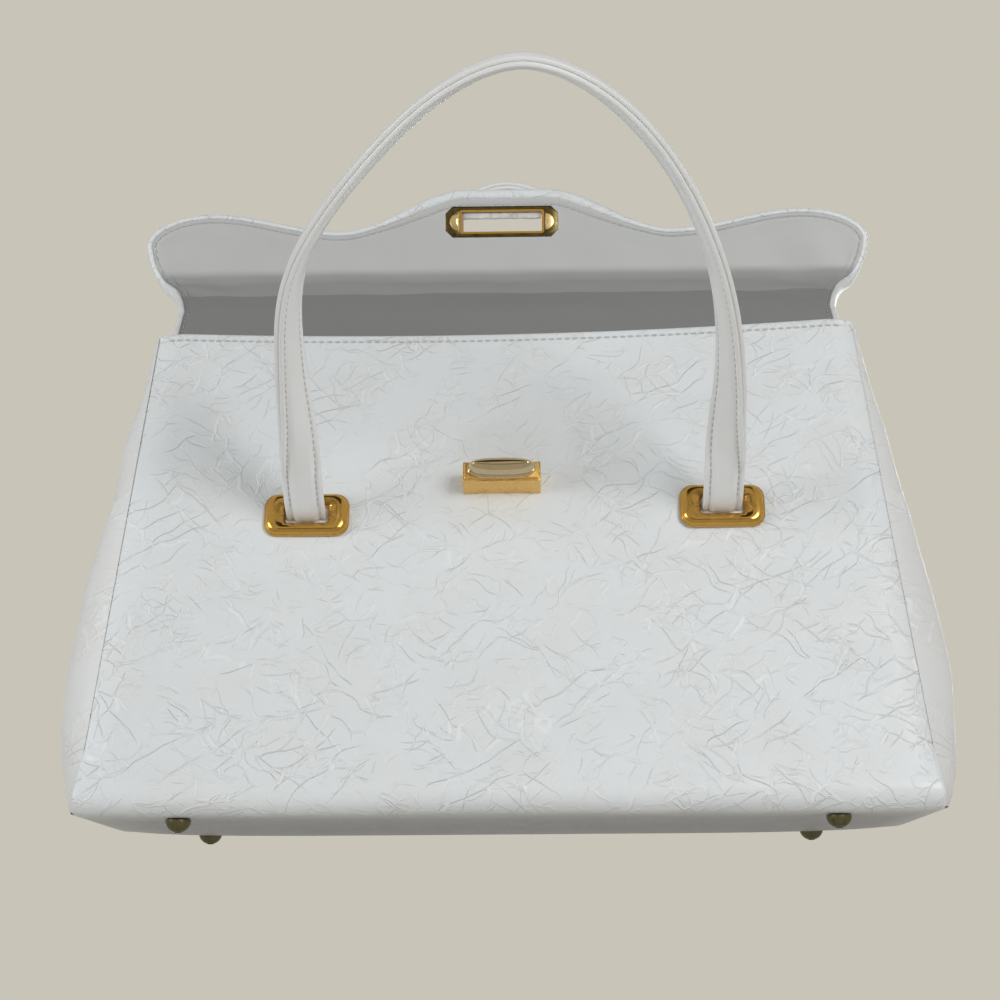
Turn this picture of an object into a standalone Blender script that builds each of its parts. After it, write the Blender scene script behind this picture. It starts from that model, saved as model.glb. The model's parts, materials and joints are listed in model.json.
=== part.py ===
"""A structured top handle handbag with an open flap, a turn lock, two strap handles and four metal feet.

Metres, +Z up. X runs along the bag's width, and the front faces -Y. The origin is the centre of the
base's underside. The flap is shown open and both handles stand as they do with it open.
"""

import math

import bmesh
import bpy
from mathutils import Matrix, Vector

# Body of the bag
TOP_HEIGHT = 0.187
TOP_DEPTH = 0.024
BASE_DEPTH = 0.104
TOP_HALF_WIDTH = 0.133
BASE_HALF_WIDTH = 0.151
CORNER_RADIUS = 0.008
TOP_EDGE_DIP = 0.004

# Thicknesses and the gap that neighbours keep
LEATHER = 0.0015
BOARD = 0.0015
LINING = 0.0008
SEAT_GAP = 0.0003
CUT_OVERRUN = 0.002

# Gussets
GUSSET_FOLD = 0.011
GUSSET_BULGE = 0.009
GUSSET_INSET = 0.0015
GUSSET_TOP_DROP = 0.004
INNER_SIDE_MARGIN = 0.010
BOARD_EDGE_MARGIN = 0.005

# Slip pocket inside the back wall
POCKET_HALF_WIDTH = 0.070
POCKET_TOP_DROP = 0.050
POCKET_DEPTH = 0.090
POCKET_MOUTH = 0.003

# Feet
FOOT_RADIUS = 0.0047
FOOT_HEIGHT = 0.0047
FOOT_FLAT_RADIUS = 0.0020
FOOT_STEM_RADIUS = 0.0015
FOOT_SIDE_INSET = 0.036
FOOT_FACE_INSET = 0.0155
FOOT_WASHER_RADIUS = 0.0050
FOOT_WASHER = 0.0010

# Turn lock on the front panel
LOCK_DROP = 0.066
LOCK_WIDTH = 0.0282
LOCK_HEIGHT = 0.0077
LOCK_PROJECTION = 0.0085
LOCK_RIM_STEP = 0.0008
LOCK_RIM = 0.0012
KNOB_LENGTH = 0.0248
KNOB_WIDTH = 0.0064
KNOB_COLLAR = 0.0014
KNOB_DOME = 0.0032
STEM_RADIUS = 0.0016
STEM_CLEARANCE = 0.0003
LOCK_PLATE_MARGIN = 0.004
LOCK_POST_RADIUS = 0.0013
LOCK_POST_SPREAD = 0.0100

# Handle plates, which frame the straps where they leave the panels
PLATE_DROP = 0.077
PLATE_SPREAD = 0.0755
PLATE_WIDTH = 0.0310
PLATE_HEIGHT = 0.0165
PLATE_THICKNESS = 0.0032
PLATE_RIM_STEP = 0.0010
PLATE_CORNER = 0.0050
WINDOW_WIDTH = 0.0172
WINDOW_HEIGHT = 0.0070
WINDOW_CORNER = 0.0012
BACKING_MARGIN = 0.0015

# Handles: two stitched layers over a core, twisted on the way to the arch
STRAP_WIDTH = 0.0150
STRAP_LAYER = 0.0016
STRAP_THICKNESS = 0.0052
CORE_WIDTH = 0.0086
CORE_THICKNESS = 0.0013
STRAP_SPLIT = 0.0003
PIVOT_OUT = 0.0075
HANDLE_RISE = 0.1790
ARCH_START = 0.0450
ARCH_POWER_SHARE = 1.75
ARCH_TWIST_DEG = 45.0
TWIST_START = 0.0300
FRONT_LEAN_DEG = 55.0
BACK_LEAN_DEG = 21.5
ANCHOR_HEIGHT = 0.0048
ANCHOR_WIDTH = 0.0156

# Flap: bridge over the top, soft strip, stiff front with two lobes and a tongue
FLAP_LINING = 0.0008
FLAP_BOARD = 0.0009
FLAP_LIFT = 0.0006
FLAP_OVERHANG = 0.0020
FLAP_NECK_HALF = 0.132
FLAP_STRIP_LENGTH = 0.043
FLAP_STRIP_HALF = 0.146
LOBE_HALF = 0.151
LOBE_SIDE_DROP = 0.052
LOBE_TIP_DROP = 0.072
LOBE_TIP_HALF = 0.119
WAIST_DROP = 0.061
WAIST_HALF = 0.052
TONGUE_DROP = 0.082
TONGUE_HALF = 0.020
FLAP_BOARD_MARGIN = 0.006
BRIDGE_BACK_DEG = 132.0
STRIP_BACK_DEG = 146.0
FRONT_BACK_DEG = 83.0
HINGE_TRIM = 0.0007
FOLD_TRIM = 0.00062
CREASE_TRIM = 0.00018
BAND_DROP = 0.0008
BAND_HEIGHT = 0.0110
BAND_THICKNESS = 0.0014

# Eye of the lock on the tongue
EYE_WIDTH = 0.0480
EYE_HEIGHT = 0.0165
EYE_THICKNESS = 0.0011
EYE_SLOT_WIDTH = 0.0340
EYE_SLOT_ABOVE = 0.0043
EYE_SLOT_BELOW = 0.0075
EYE_CHAMFER = 0.0030
EYE_WALL = 0.0009
EYE_PAD_RADIUS = 0.0036
EYE_PAD_RISE = 0.0005

# Counts of the facets
CORNER_STEPS = 4
PANEL_COLUMNS = 8
PANEL_ROWS = 3
GUSSET_ROWS = 6
ARCH_STEPS = 26
LEG_STEPS = 6
ROUND_STEPS = 20
LOBE_STEPS = 8
EDGE_STEPS = 10
FILLET_STEPS = 4

PANEL_SLOPE = math.atan2((BASE_DEPTH - TOP_DEPTH) / 2, TOP_HEIGHT)
BOARD_INSET = LEATHER + SEAT_GAP
LINING_INSET = BOARD_INSET + BOARD + SEAT_GAP
FOOT_HALF_SPAN = BASE_HALF_WIDTH - FOOT_SIDE_INSET
FOOT_HALF_DEPTH = BASE_DEPTH / 2 - FOOT_FACE_INSET
FLAP_LEATHER_LEVEL = FLAP_LINING + FLAP_BOARD + 2 * SEAT_GAP
FLAP_THICKNESS = FLAP_LEATHER_LEVEL + LEATHER
BRIDGE_LENGTH = TOP_DEPTH + FLAP_OVERHANG


def smooth_share(share):
    share = min(1.0, max(0.0, share))
    return share * share * (3 - 2 * share)


def clear_scene():
    for item in list(bpy.data.objects):
        bpy.data.objects.remove(item, do_unlink=True)


def make_collection(name):
    group = bpy.data.collections.new(name)
    bpy.context.scene.collection.children.link(group)
    return group


def make_material(name, colour, roughness, metallic=0.0):
    material = bpy.data.materials.new(name)
    material.use_nodes = True
    shader = material.node_tree.nodes["Principled BSDF"]
    shader.inputs["Base Color"].default_value = (*colour, 1.0)
    shader.inputs["Roughness"].default_value = roughness
    shader.inputs["Metallic"].default_value = metallic
    return material


clear_scene()
BAG = make_collection("top_handle_handbag")
CUTTERS = make_collection("cutters")

WHITE_LEATHER = make_material("white_leather", (0.78, 0.78, 0.79), 0.42)
GUSSET_LEATHER = make_material("gusset_leather", (0.76, 0.77, 0.78), 0.45)
STRAP_LEATHER = make_material("strap_leather", (0.80, 0.80, 0.80), 0.38)
PALE_LINING = make_material("pale_lining", (0.62, 0.62, 0.62), 0.60)
STIFF_BOARD = make_material("stiff_board", (0.45, 0.38, 0.30), 0.85)
GOLD = make_material("gold_plate", (0.83, 0.60, 0.22), 0.20, 1.0)
BRIGHT_GOLD = make_material("bright_gold", (0.86, 0.76, 0.52), 0.10, 1.0)
AGED_BRASS = make_material("aged_brass", (0.33, 0.25, 0.12), 0.32, 1.0)
PLAIN_STEEL = make_material("plain_steel", (0.55, 0.55, 0.55), 0.35, 1.0)


def add_mesh(name, mesh, material, matrix=None, cutter=False):
    """An object in the bag's collection, or a hidden one in the cutters'."""
    item = bpy.data.objects.new(name, mesh)
    if cutter:
        CUTTERS.objects.link(item)
        item.hide_render = True
        item.display_type = "WIRE"
    else:
        BAG.objects.link(item)
        mesh.materials.append(material)
    if matrix is not None:
        item.matrix_world = matrix
    return item


def finish_bmesh(name, bm):
    bmesh.ops.recalc_face_normals(bm, faces=bm.faces)
    mesh = bpy.data.meshes.new(name)
    bm.to_mesh(mesh)
    bm.free()
    return mesh


def outline_mesh(name, outlines, low, high):
    """A flat plate between two heights, from closed outlines of which all but the first are holes."""
    curve = bpy.data.curves.new(name, "CURVE")
    curve.dimensions = "2D"
    curve.fill_mode = "BOTH"
    curve.extrude = (high - low) / 2
    for outline in outlines:
        spline = curve.splines.new("POLY")
        spline.points.add(len(outline) - 1)
        for point, (x, y) in zip(spline.points, outline):
            point.co = (x, y, 0, 1)
        spline.use_cyclic_u = True
    item = bpy.data.objects.new(name, curve)
    BAG.objects.link(item)
    bpy.context.view_layer.update()
    graph = bpy.context.evaluated_depsgraph_get()
    mesh = bpy.data.meshes.new_from_object(item.evaluated_get(graph))
    bpy.data.objects.remove(item)
    bpy.data.curves.remove(curve)
    bm = bmesh.new()
    bm.from_mesh(mesh)
    bmesh.ops.remove_doubles(bm, verts=bm.verts, dist=SEAT_GAP / 100)
    bmesh.ops.translate(bm, verts=bm.verts, vec=(0, 0, (high + low) / 2))
    bmesh.ops.recalc_face_normals(bm, faces=bm.faces)
    bm.to_mesh(mesh)
    bm.free()
    return mesh


def rounded_outline(width, height, corner, steps=FILLET_STEPS, centre=(0, 0)):
    """A rectangle with round corners; one step a corner gives a chamfer."""
    points = []
    for side_x, side_y, start in ((1, 1, 0), (-1, 1, 90), (-1, -1, 180), (1, -1, 270)):
        for step in range(steps + 1):
            angle = math.radians(start + 90 * step / steps)
            x = centre[0] + side_x * (width / 2 - corner) + corner * math.cos(angle)
            y = centre[1] + side_y * (height / 2 - corner) + corner * math.sin(angle)
            points.append((x, y))
    return points


def circle_outline(radius, centre=(0, 0), steps=ROUND_STEPS):
    turns = [math.tau * step / steps for step in range(steps)]
    return [(centre[0] + radius * math.cos(t), centre[1] + radius * math.sin(t)) for t in turns]


def turned_mesh(name, profile, steps=ROUND_STEPS):
    """A solid turned about Z from (radius, height) points, from the foot up, with both ends on the axis."""
    bm = bmesh.new()
    verts = [bm.verts.new((radius, 0, height)) for radius, height in profile]
    edges = [bm.edges.new(pair) for pair in zip(verts, verts[1:])]
    bmesh.ops.spin(
        bm,
        geom=verts + edges,
        cent=(0, 0, 0),
        axis=(0, 0, 1),
        angle=math.tau,
        steps=steps,
        use_merge=True,
    )
    bmesh.ops.remove_doubles(bm, verts=bm.verts, dist=SEAT_GAP / 100)
    return finish_bmesh(name, bm)


def stacked_mesh(name, rings):
    """A solid through closed rings of as many points each, with flat ends."""
    bm = bmesh.new()
    loops = [[bm.verts.new(point) for point in ring] for ring in rings]
    for low, high in zip(loops, loops[1:]):
        for step in range(len(low)):
            after = (step + 1) % len(low)
            bm.faces.new((low[step], low[after], high[after], high[step]))
    bm.faces.new(loops[0])
    bm.faces.new(loops[-1])
    return finish_bmesh(name, bm)


def ring_of(outline, height):
    return [(x, y, height) for x, y in outline]


def shade_round(item, angle=math.radians(40)):
    item.data.shade_smooth()
    item.data.set_sharp_from_angle(angle=angle)


def subtract(item, cutter):
    change = item.modifiers.new("cut_" + cutter.name, "BOOLEAN")
    change.operation = "DIFFERENCE"
    change.solver = "EXACT"
    change.object = cutter


def panel_matrix(back, x=0.0, drop=0.0, out=0.0):
    """Local X along the width, Y up the panel and Z out of it, from the middle of the panel's top edge."""
    up = Vector((0, math.sin(PANEL_SLOPE), math.cos(PANEL_SLOPE)))
    away = Vector((0, -math.cos(PANEL_SLOPE), math.sin(PANEL_SLOPE)))
    place = Vector((x, -TOP_DEPTH / 2, TOP_HEIGHT)) - up * drop + away * out
    matrix = Matrix.Identity(4)
    for row in range(3):
        matrix[row][0] = (1, 0, 0)[row]
        matrix[row][1] = up[row]
        matrix[row][2] = away[row]
        matrix[row][3] = place[row]
    if back:
        matrix = Matrix.Rotation(math.pi, 4, "Z") @ matrix
    return matrix


def half_width(height):
    share = (TOP_HEIGHT - height) / TOP_HEIGHT
    return TOP_HALF_WIDTH + (BASE_HALF_WIDTH - TOP_HALF_WIDTH) * share


def corner_centre():
    """Centre (y, z) of the front lower corner's arc."""
    line = TOP_DEPTH / 2 + (TOP_HEIGHT - CORNER_RADIUS) * math.tan(PANEL_SLOPE)
    return -line + CORNER_RADIUS / math.cos(PANEL_SLOPE), CORNER_RADIUS


def half_profile(inset, top_drop):
    """Points (y, z) down the front wall and round its lower corner, at a depth inside the outer face."""
    centre_y, centre_z = corner_centre()
    top = TOP_HEIGHT - top_drop
    top_y = -TOP_DEPTH / 2 - top_drop * math.tan(PANEL_SLOPE) + inset / math.cos(PANEL_SLOPE)
    arc = []
    for step in range(CORNER_STEPS + 1):
        turn = math.pi - PANEL_SLOPE + (math.pi / 2 + PANEL_SLOPE) * step / CORNER_STEPS
        radius = CORNER_RADIUS - inset
        arc.append((centre_y + radius * math.cos(turn), centre_z + radius * math.sin(turn)))
    wall = []
    for step in range(PANEL_ROWS):
        share = step / PANEL_ROWS
        wall.append((top_y + (arc[0][0] - top_y) * share, top + (arc[0][1] - top) * share))
    return wall + arc


def wall_surface(name, inset, thickness, side_margin, top_drop, material):
    """One wrap from the front top edge, under the base, to the back top edge."""
    half = half_profile(inset, top_drop)
    profile = half + [(-y, z) for y, z in reversed(half)]
    bm = bmesh.new()
    rows = []
    for number, (y, z) in enumerate(profile):
        width = half_width(z) - side_margin
        row = []
        for column in range(PANEL_COLUMNS + 1):
            share = 2 * column / PANEL_COLUMNS - 1
            dip = TOP_EDGE_DIP * (1 - share * share) if number in (0, len(profile) - 1) else 0
            lean = -math.copysign(dip * math.tan(PANEL_SLOPE), -y)
            row.append(bm.verts.new((width * share, y + lean, z - dip)))
        rows.append(row)
    for upper, lower in zip(rows, rows[1:]):
        for column in range(PANEL_COLUMNS):
            bm.faces.new((upper[column], lower[column], lower[column + 1], upper[column + 1]))
    mesh = bpy.data.meshes.new(name)
    bm.to_mesh(mesh)
    bm.free()
    item = add_mesh(name, mesh, material)
    shell = item.modifiers.new("thickness", "SOLIDIFY")
    shell.thickness = thickness
    shell.offset = -1
    shell.use_even_offset = True
    return item


def inner_half_depth(height, inset):
    """Half the depth between the walls, at a height and a depth inside their outer faces."""
    centre_y, centre_z = corner_centre()
    if height >= centre_z:
        line = TOP_DEPTH / 2 + (TOP_HEIGHT - height) * math.tan(PANEL_SLOPE)
        return line - inset / math.cos(PANEL_SLOPE)
    radius = CORNER_RADIUS - inset
    rise = min(centre_z - height, radius)
    return -centre_y + math.sqrt(radius * radius - rise * rise)


def make_gusset(name, side):
    """A side wall between the front and back, folded inward more toward the top and full below."""
    fold_power = 1.5
    round_power = 1.3
    rise_power = 0.64
    lobe_power = 1.36
    column_shares = (-1.0, -0.75, -0.4, 0.0, 0.4, 0.75, 1.0)
    inset = LEATHER + 2 * SEAT_GAP
    low = inset
    high = TOP_HEIGHT - GUSSET_TOP_DROP
    heights = [low, low + (CORNER_RADIUS - low) / 2]
    for row in range(GUSSET_ROWS + 1):
        heights.append(CORNER_RADIUS + (high - CORNER_RADIUS) * row / GUSSET_ROWS)
    bm = bmesh.new()
    rows = []
    for height in heights:
        depth = inner_half_depth(height, inset)
        rise = max(0.0, (height - low) / (high - low))
        fold = GUSSET_FOLD * rise ** fold_power
        fullness = GUSSET_BULGE * math.sin(math.pi * rise ** rise_power)
        row = []
        for share in column_shares:
            valley = max(0.0, math.cos(share * math.pi / 2)) ** round_power
            lobe = math.sin(math.pi * abs(share) ** lobe_power)
            x = half_width(height) - GUSSET_INSET - fold * valley + fullness * lobe
            row.append(bm.verts.new((side * x, depth * share, height)))
        rows.append(row)
    faces = []
    for upper, lower in zip(rows, rows[1:]):
        for column in range(len(upper) - 1):
            faces.append(bm.faces.new((upper[column], lower[column], lower[column + 1], upper[column + 1])))
    grown = bmesh.ops.extrude_face_region(bm, geom=faces)
    moved = [part for part in grown["geom"] if isinstance(part, bmesh.types.BMVert)]
    bmesh.ops.translate(bm, verts=moved, vec=(-side * LEATHER, 0, 0))
    return add_mesh(name, finish_bmesh(name, bm), GUSSET_LEATHER)


def foot_places():
    return [
        (-FOOT_HALF_SPAN, -FOOT_HALF_DEPTH),
        (FOOT_HALF_SPAN, -FOOT_HALF_DEPTH),
        (-FOOT_HALF_SPAN, FOOT_HALF_DEPTH),
        (FOOT_HALF_SPAN, FOOT_HALF_DEPTH),
    ]


def prism_cutter(name, outline, low, high, matrix):
    mesh = outline_mesh(name, [outline], low, high)
    return add_mesh(name, mesh, None, matrix, cutter=True)


def panel_fittings():
    """Where the panels are pierced: (name, is it on the back, x, drop, outline)."""
    slots = []
    for back, face in ((False, "front"), (True, "back")):
        for side, word in ((-1, "left"), (1, "right")):
            hole = rounded_outline(WINDOW_WIDTH, WINDOW_HEIGHT, WINDOW_CORNER, 1)
            slots.append((face + "_" + word + "_slot", back, side * PLATE_SPREAD, PLATE_DROP, hole))
    spindle = circle_outline(STEM_RADIUS + 2 * STEM_CLEARANCE, steps=ROUND_STEPS // 2)
    slots.append(("spindle_hole", False, 0.0, LOCK_DROP, spindle))
    for side in (-1, 1):
        post = circle_outline(LOCK_POST_RADIUS + STEM_CLEARANCE, steps=ROUND_STEPS // 2)
        slots.append(("post_hole_%d" % side, False, side * LOCK_POST_SPREAD, LOCK_DROP, post))
    return slots


def make_shell():
    shell = wall_surface("outer_shell", 0.0, LEATHER, 0.0, 0.0, WHITE_LEATHER)
    low, high = -LEATHER - CUT_OVERRUN, CUT_OVERRUN
    for name, back, x, drop, outline in panel_fittings():
        subtract(shell, prism_cutter("cut_" + name, outline, low, high, panel_matrix(back, x, drop)))
    hole = circle_outline(FOOT_STEM_RADIUS + STEM_CLEARANCE, steps=ROUND_STEPS // 2)
    for number, (x, y) in enumerate(foot_places(), 1):
        place = Matrix.Translation((x, y, 0))
        cutter = prism_cutter("cut_foot_%d" % number, hole, -CUT_OVERRUN, LEATHER + CUT_OVERRUN, place)
        subtract(shell, cutter)
    shade_round(shell)


def board_outline():
    """The stiffener's trapezoid in the panel's own plane."""
    corner_top = CORNER_RADIUS * (1 + math.sin(PANEL_SLOPE))
    top = -BOARD_EDGE_MARGIN - TOP_EDGE_DIP
    low = -(TOP_HEIGHT - corner_top) / math.cos(PANEL_SLOPE)
    upper = half_width(TOP_HEIGHT) - INNER_SIDE_MARGIN
    lower = half_width(CORNER_RADIUS) - INNER_SIDE_MARGIN
    return [(upper, top), (-upper, top), (-lower, low), (lower, low)]


def backing_outline(x, drop, clearance):
    width = PLATE_WIDTH - 2 * BACKING_MARGIN + 2 * clearance
    height = PLATE_HEIGHT - 2 * BACKING_MARGIN + 2 * clearance
    return rounded_outline(width, height, BACKING_MARGIN, 1, (x, -drop))


def lock_backing_outline(clearance):
    width = LOCK_WIDTH + 2 * LOCK_PLATE_MARGIN + 2 * clearance
    height = LOCK_HEIGHT + 2 * LOCK_PLATE_MARGIN + 2 * clearance
    return rounded_outline(width, height, BACKING_MARGIN, 1, (0, -LOCK_DROP))


def make_boards():
    """Stiffeners behind the leather, with windows in which the fittings' backing plates lie."""
    for back, name in ((False, "front_board"), (True, "back_board")):
        outlines = [board_outline()]
        for side in (-1, 1):
            outlines.append(backing_outline(side * PLATE_SPREAD, PLATE_DROP, SEAT_GAP))
        if not back:
            outlines.append(lock_backing_outline(SEAT_GAP))
        mesh = outline_mesh(name, outlines, -BOARD_INSET - BOARD, -BOARD_INSET)
        add_mesh(name, mesh, STIFF_BOARD, panel_matrix(back))
    centre_y, _ = corner_centre()
    width = 2 * (BASE_HALF_WIDTH - INNER_SIDE_MARGIN)
    outlines = [rounded_outline(width, -2 * centre_y, BOARD_EDGE_MARGIN, 1)]
    for place in foot_places():
        outlines.append(circle_outline(FOOT_WASHER_RADIUS + SEAT_GAP, place, ROUND_STEPS // 2))
    mesh = outline_mesh("base_board", outlines, BOARD_INSET, BOARD_INSET + BOARD)
    add_mesh("base_board", mesh, STIFF_BOARD)


def make_pocket():
    """An open-topped slip pocket sewn to the lining of the back wall."""
    depth = LINING_INSET + LINING + SEAT_GAP
    top, low = -POCKET_TOP_DROP, -POCKET_TOP_DROP - POCKET_DEPTH
    bm = bmesh.new()
    bmesh.ops.create_cube(bm, size=1.0)
    size = (2 * POCKET_HALF_WIDTH, top - low, POCKET_MOUTH)
    bmesh.ops.scale(bm, verts=bm.verts, vec=size)
    bmesh.ops.translate(bm, verts=bm.verts, vec=(0, (top + low) / 2, -depth - POCKET_MOUTH / 2))
    pocket = add_mesh("inner_pocket", finish_bmesh("inner_pocket", bm), PALE_LINING, panel_matrix(True))
    wall = LINING
    bm = bmesh.new()
    bmesh.ops.create_cube(bm, size=1.0)
    size = (2 * (POCKET_HALF_WIDTH - wall), top - low - wall + CUT_OVERRUN, POCKET_MOUTH - 2 * wall)
    bmesh.ops.scale(bm, verts=bm.verts, vec=size)
    middle = (0, (top + low + wall + CUT_OVERRUN) / 2, -depth - POCKET_MOUTH / 2)
    bmesh.ops.translate(bm, verts=bm.verts, vec=middle)
    inside = add_mesh("pocket_space", finish_bmesh("pocket_space", bm), None, panel_matrix(True), cutter=True)
    subtract(pocket, inside)


def make_feet():
    """Domed feet whose stems pass through the base leather into washers on its inside."""
    dome_share = 0.72
    edge_share = 0.1
    dome_steps = 4
    stem_top = BOARD_INSET + FOOT_WASHER + SEAT_GAP / 2
    seat = -SEAT_GAP
    low = seat - FOOT_HEIGHT
    profile = [(0, low), (FOOT_FLAT_RADIUS, low)]
    for step in range(1, dome_steps + 1):
        turn = math.pi / 2 * step / dome_steps
        radius = FOOT_FLAT_RADIUS + (FOOT_RADIUS - FOOT_FLAT_RADIUS) * math.sin(turn)
        profile.append((radius, low + FOOT_HEIGHT * dome_share * (1 - math.cos(turn))))
    profile.append((FOOT_RADIUS, seat - FOOT_HEIGHT * edge_share))
    profile.append((FOOT_RADIUS - FOOT_HEIGHT * edge_share, seat))
    profile += [(FOOT_STEM_RADIUS, seat), (FOOT_STEM_RADIUS, stem_top), (0, stem_top)]
    foot = turned_mesh("foot", profile)
    hole = circle_outline(FOOT_STEM_RADIUS + STEM_CLEARANCE, steps=ROUND_STEPS // 2)
    rim = circle_outline(FOOT_WASHER_RADIUS, steps=ROUND_STEPS // 2)
    washer = outline_mesh("foot_washer", [rim, hole], BOARD_INSET, BOARD_INSET + FOOT_WASHER)
    foot.materials.append(AGED_BRASS)
    washer.materials.append(PLAIN_STEEL)
    for number, (x, y) in enumerate(foot_places(), 1):
        for word, mesh in (("foot_%d", foot), ("foot_washer_%d", washer)):
            item = bpy.data.objects.new(word % number, mesh)
            BAG.objects.link(item)
            item.location = (x, y, 0)
            shade_round(item)


def make_strap_plates():
    """Pillow-shaped gold frames round the straps, their backing plates, and the straps' sewn-in ends."""
    hole = rounded_outline(WINDOW_WIDTH, WINDOW_HEIGHT, WINDOW_CORNER)
    step_share = 0.35
    rings = []
    for inset, level in (
        (0.0, SEAT_GAP),
        (0.0, SEAT_GAP + PLATE_THICKNESS * step_share),
        (PLATE_RIM_STEP, SEAT_GAP + PLATE_THICKNESS * step_share),
        (PLATE_RIM_STEP * 2, PLATE_THICKNESS - PLATE_RIM_STEP / 4),
        (PLATE_RIM_STEP * 3, PLATE_THICKNESS),
    ):
        width, height = PLATE_WIDTH - 2 * inset, PLATE_HEIGHT - 2 * inset
        corner = PLATE_CORNER - inset
        rings.append(ring_of(rounded_outline(width, height, corner), level))
    for back, face in ((False, "front"), (True, "back")):
        for side, word in ((-1, "left"), (1, "right")):
            prefix = face + "_" + word
            x = side * PLATE_SPREAD
            matrix = panel_matrix(back, x, PLATE_DROP)
            plate_mesh = stacked_mesh(prefix + "_strap_plate", rings)
            plate = add_mesh(prefix + "_strap_plate", plate_mesh, GOLD, matrix)
            reach = PLATE_THICKNESS + CUT_OVERRUN
            subtract(plate, prism_cutter("cut_" + prefix + "_window", hole, -CUT_OVERRUN, reach, matrix))
            shade_round(plate)
            low, high = -BOARD_INSET - BOARD, -BOARD_INSET
            backing = outline_mesh(prefix + "_backing", [backing_outline(0.0, 0.0, 0.0)], low, high)
            add_mesh(prefix + "_backing", backing, PLAIN_STEEL, matrix)
            top = PIVOT_OUT - STRAP_THICKNESS / 2 - SEAT_GAP
            tab = rounded_outline(ANCHOR_WIDTH, ANCHOR_HEIGHT, WINDOW_CORNER, 2)
            anchor = outline_mesh(prefix + "_strap_end", [tab], -LEATHER, top)
            add_mesh(prefix + "_strap_end", anchor, STRAP_LEATHER, matrix)


def oval_outline(length, width, steps=ROUND_STEPS):
    turns = [math.tau * step / steps for step in range(steps)]
    power_share = 0.72
    points = []
    for turn in turns:
        x = math.copysign(abs(math.cos(turn)) ** power_share, math.cos(turn))
        y = math.copysign(abs(math.sin(turn)) ** power_share, math.sin(turn))
        points.append((length / 2 * x, width / 2 * y))
    return points


def make_lock():
    """Turn lock: a block on the panel with a bored post, and an oval knob that turns in it."""
    matrix = panel_matrix(False, 0.0, LOCK_DROP)
    block_rings = []
    top = LOCK_PROJECTION
    for inset, level in (
        (0.0, SEAT_GAP),
        (0.0, top - LOCK_RIM),
        (LOCK_RIM_STEP, top - LOCK_RIM),
        (LOCK_RIM_STEP, top),
    ):
        size = (LOCK_WIDTH - 2 * inset, LOCK_HEIGHT - 2 * inset)
        block_rings.append(ring_of(rounded_outline(*size, LOCK_RIM_STEP - inset / 2, 2), level))
    block = add_mesh("lock_base", stacked_mesh("lock_base", block_rings), GOLD, matrix)
    bore = circle_outline(STEM_RADIUS + STEM_CLEARANCE)
    subtract(block, prism_cutter("cut_lock_bore", bore, -CUT_OVERRUN, top + CUT_OVERRUN, matrix))
    shade_round(block)
    low, high = -BOARD_INSET - BOARD, -SEAT_GAP / 3
    for side, word in ((-1, "left"), (1, "right")):
        post_profile = [(0, low), (LOCK_POST_RADIUS, low), (LOCK_POST_RADIUS, high), (0, high)]
        post = turned_mesh("lock_post", post_profile, ROUND_STEPS // 2)
        place = panel_matrix(False, side * LOCK_POST_SPREAD, LOCK_DROP)
        add_mesh("lock_rivet_" + word, post, PLAIN_STEEL, place)
    collar_shares = ((0.0, 0.0), (0.0, 0.45), (0.16, 0.6), (0.06, 1.0))
    dome_shares = ((0.06, 0.35), (0.25, 0.75), (0.56, 0.97), (0.84, 1.0))
    start = top + SEAT_GAP
    knob_rings = []
    parts = ((collar_shares, KNOB_COLLAR, start), (dome_shares, KNOB_DOME, start + KNOB_COLLAR))
    for shares, rise, floor in parts:
        for cut_share, rise_share in shares:
            cut = KNOB_WIDTH * cut_share
            outline = oval_outline(KNOB_LENGTH - cut, KNOB_WIDTH - cut)
            knob_rings.append(ring_of(outline, floor + rise * rise_share))
    knob = add_mesh("lock_knob", stacked_mesh("lock_knob", knob_rings), BRIGHT_GOLD, matrix)
    foot = -BOARD_INSET - BOARD
    stem_top = start + KNOB_COLLAR / 4
    stem_profile = [(0, foot), (STEM_RADIUS, foot), (STEM_RADIUS, stem_top), (0, stem_top)]
    stem = add_mesh("stem", turned_mesh("stem", stem_profile), None, matrix, cutter=True)
    join = knob.modifiers.new("stem", "BOOLEAN")
    join.operation = "UNION"
    join.solver = "EXACT"
    join.object = stem
    shade_round(knob)
    ring = circle_outline(STEM_RADIUS + STEM_CLEARANCE, (0, -LOCK_DROP), ROUND_STEPS)
    backing_holes = [lock_backing_outline(0.0), ring]
    for side in (-1, 1):
        centre = (side * LOCK_POST_SPREAD, -LOCK_DROP)
        backing_holes.append(circle_outline(LOCK_POST_RADIUS + STEM_CLEARANCE, centre, ROUND_STEPS // 2))
    backing = outline_mesh("lock_backing", backing_holes, -BOARD_INSET - BOARD, -BOARD_INSET)
    add_mesh("lock_backing", backing, PLAIN_STEEL, panel_matrix(False))


def arch_point(turn):
    """A point (across, up) on the handle's centre line in its own plane, by the turn from its right side."""
    power = 2 / ARCH_POWER_SHARE
    across = PLATE_SPREAD * math.copysign(abs(math.cos(turn)) ** power, math.cos(turn))
    up = ARCH_START + (HANDLE_RISE - ARCH_START) * abs(math.sin(turn)) ** power
    return across, up


def handle_line():
    """The centre line from plate to plate over the arch, with a rounded end below each pivot."""
    end_shares = (-0.95, -0.65)
    leg = [(-PLATE_SPREAD, STRAP_THICKNESS / 2 * share) for share in end_shares]
    leg += [(-PLATE_SPREAD, ARCH_START * step / LEG_STEPS) for step in range(LEG_STEPS)]
    arch = [arch_point(math.pi * (1 - step / ARCH_STEPS)) for step in range(ARCH_STEPS + 1)]
    return leg + arch + [(-x, y) for x, y in reversed(leg)]


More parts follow.
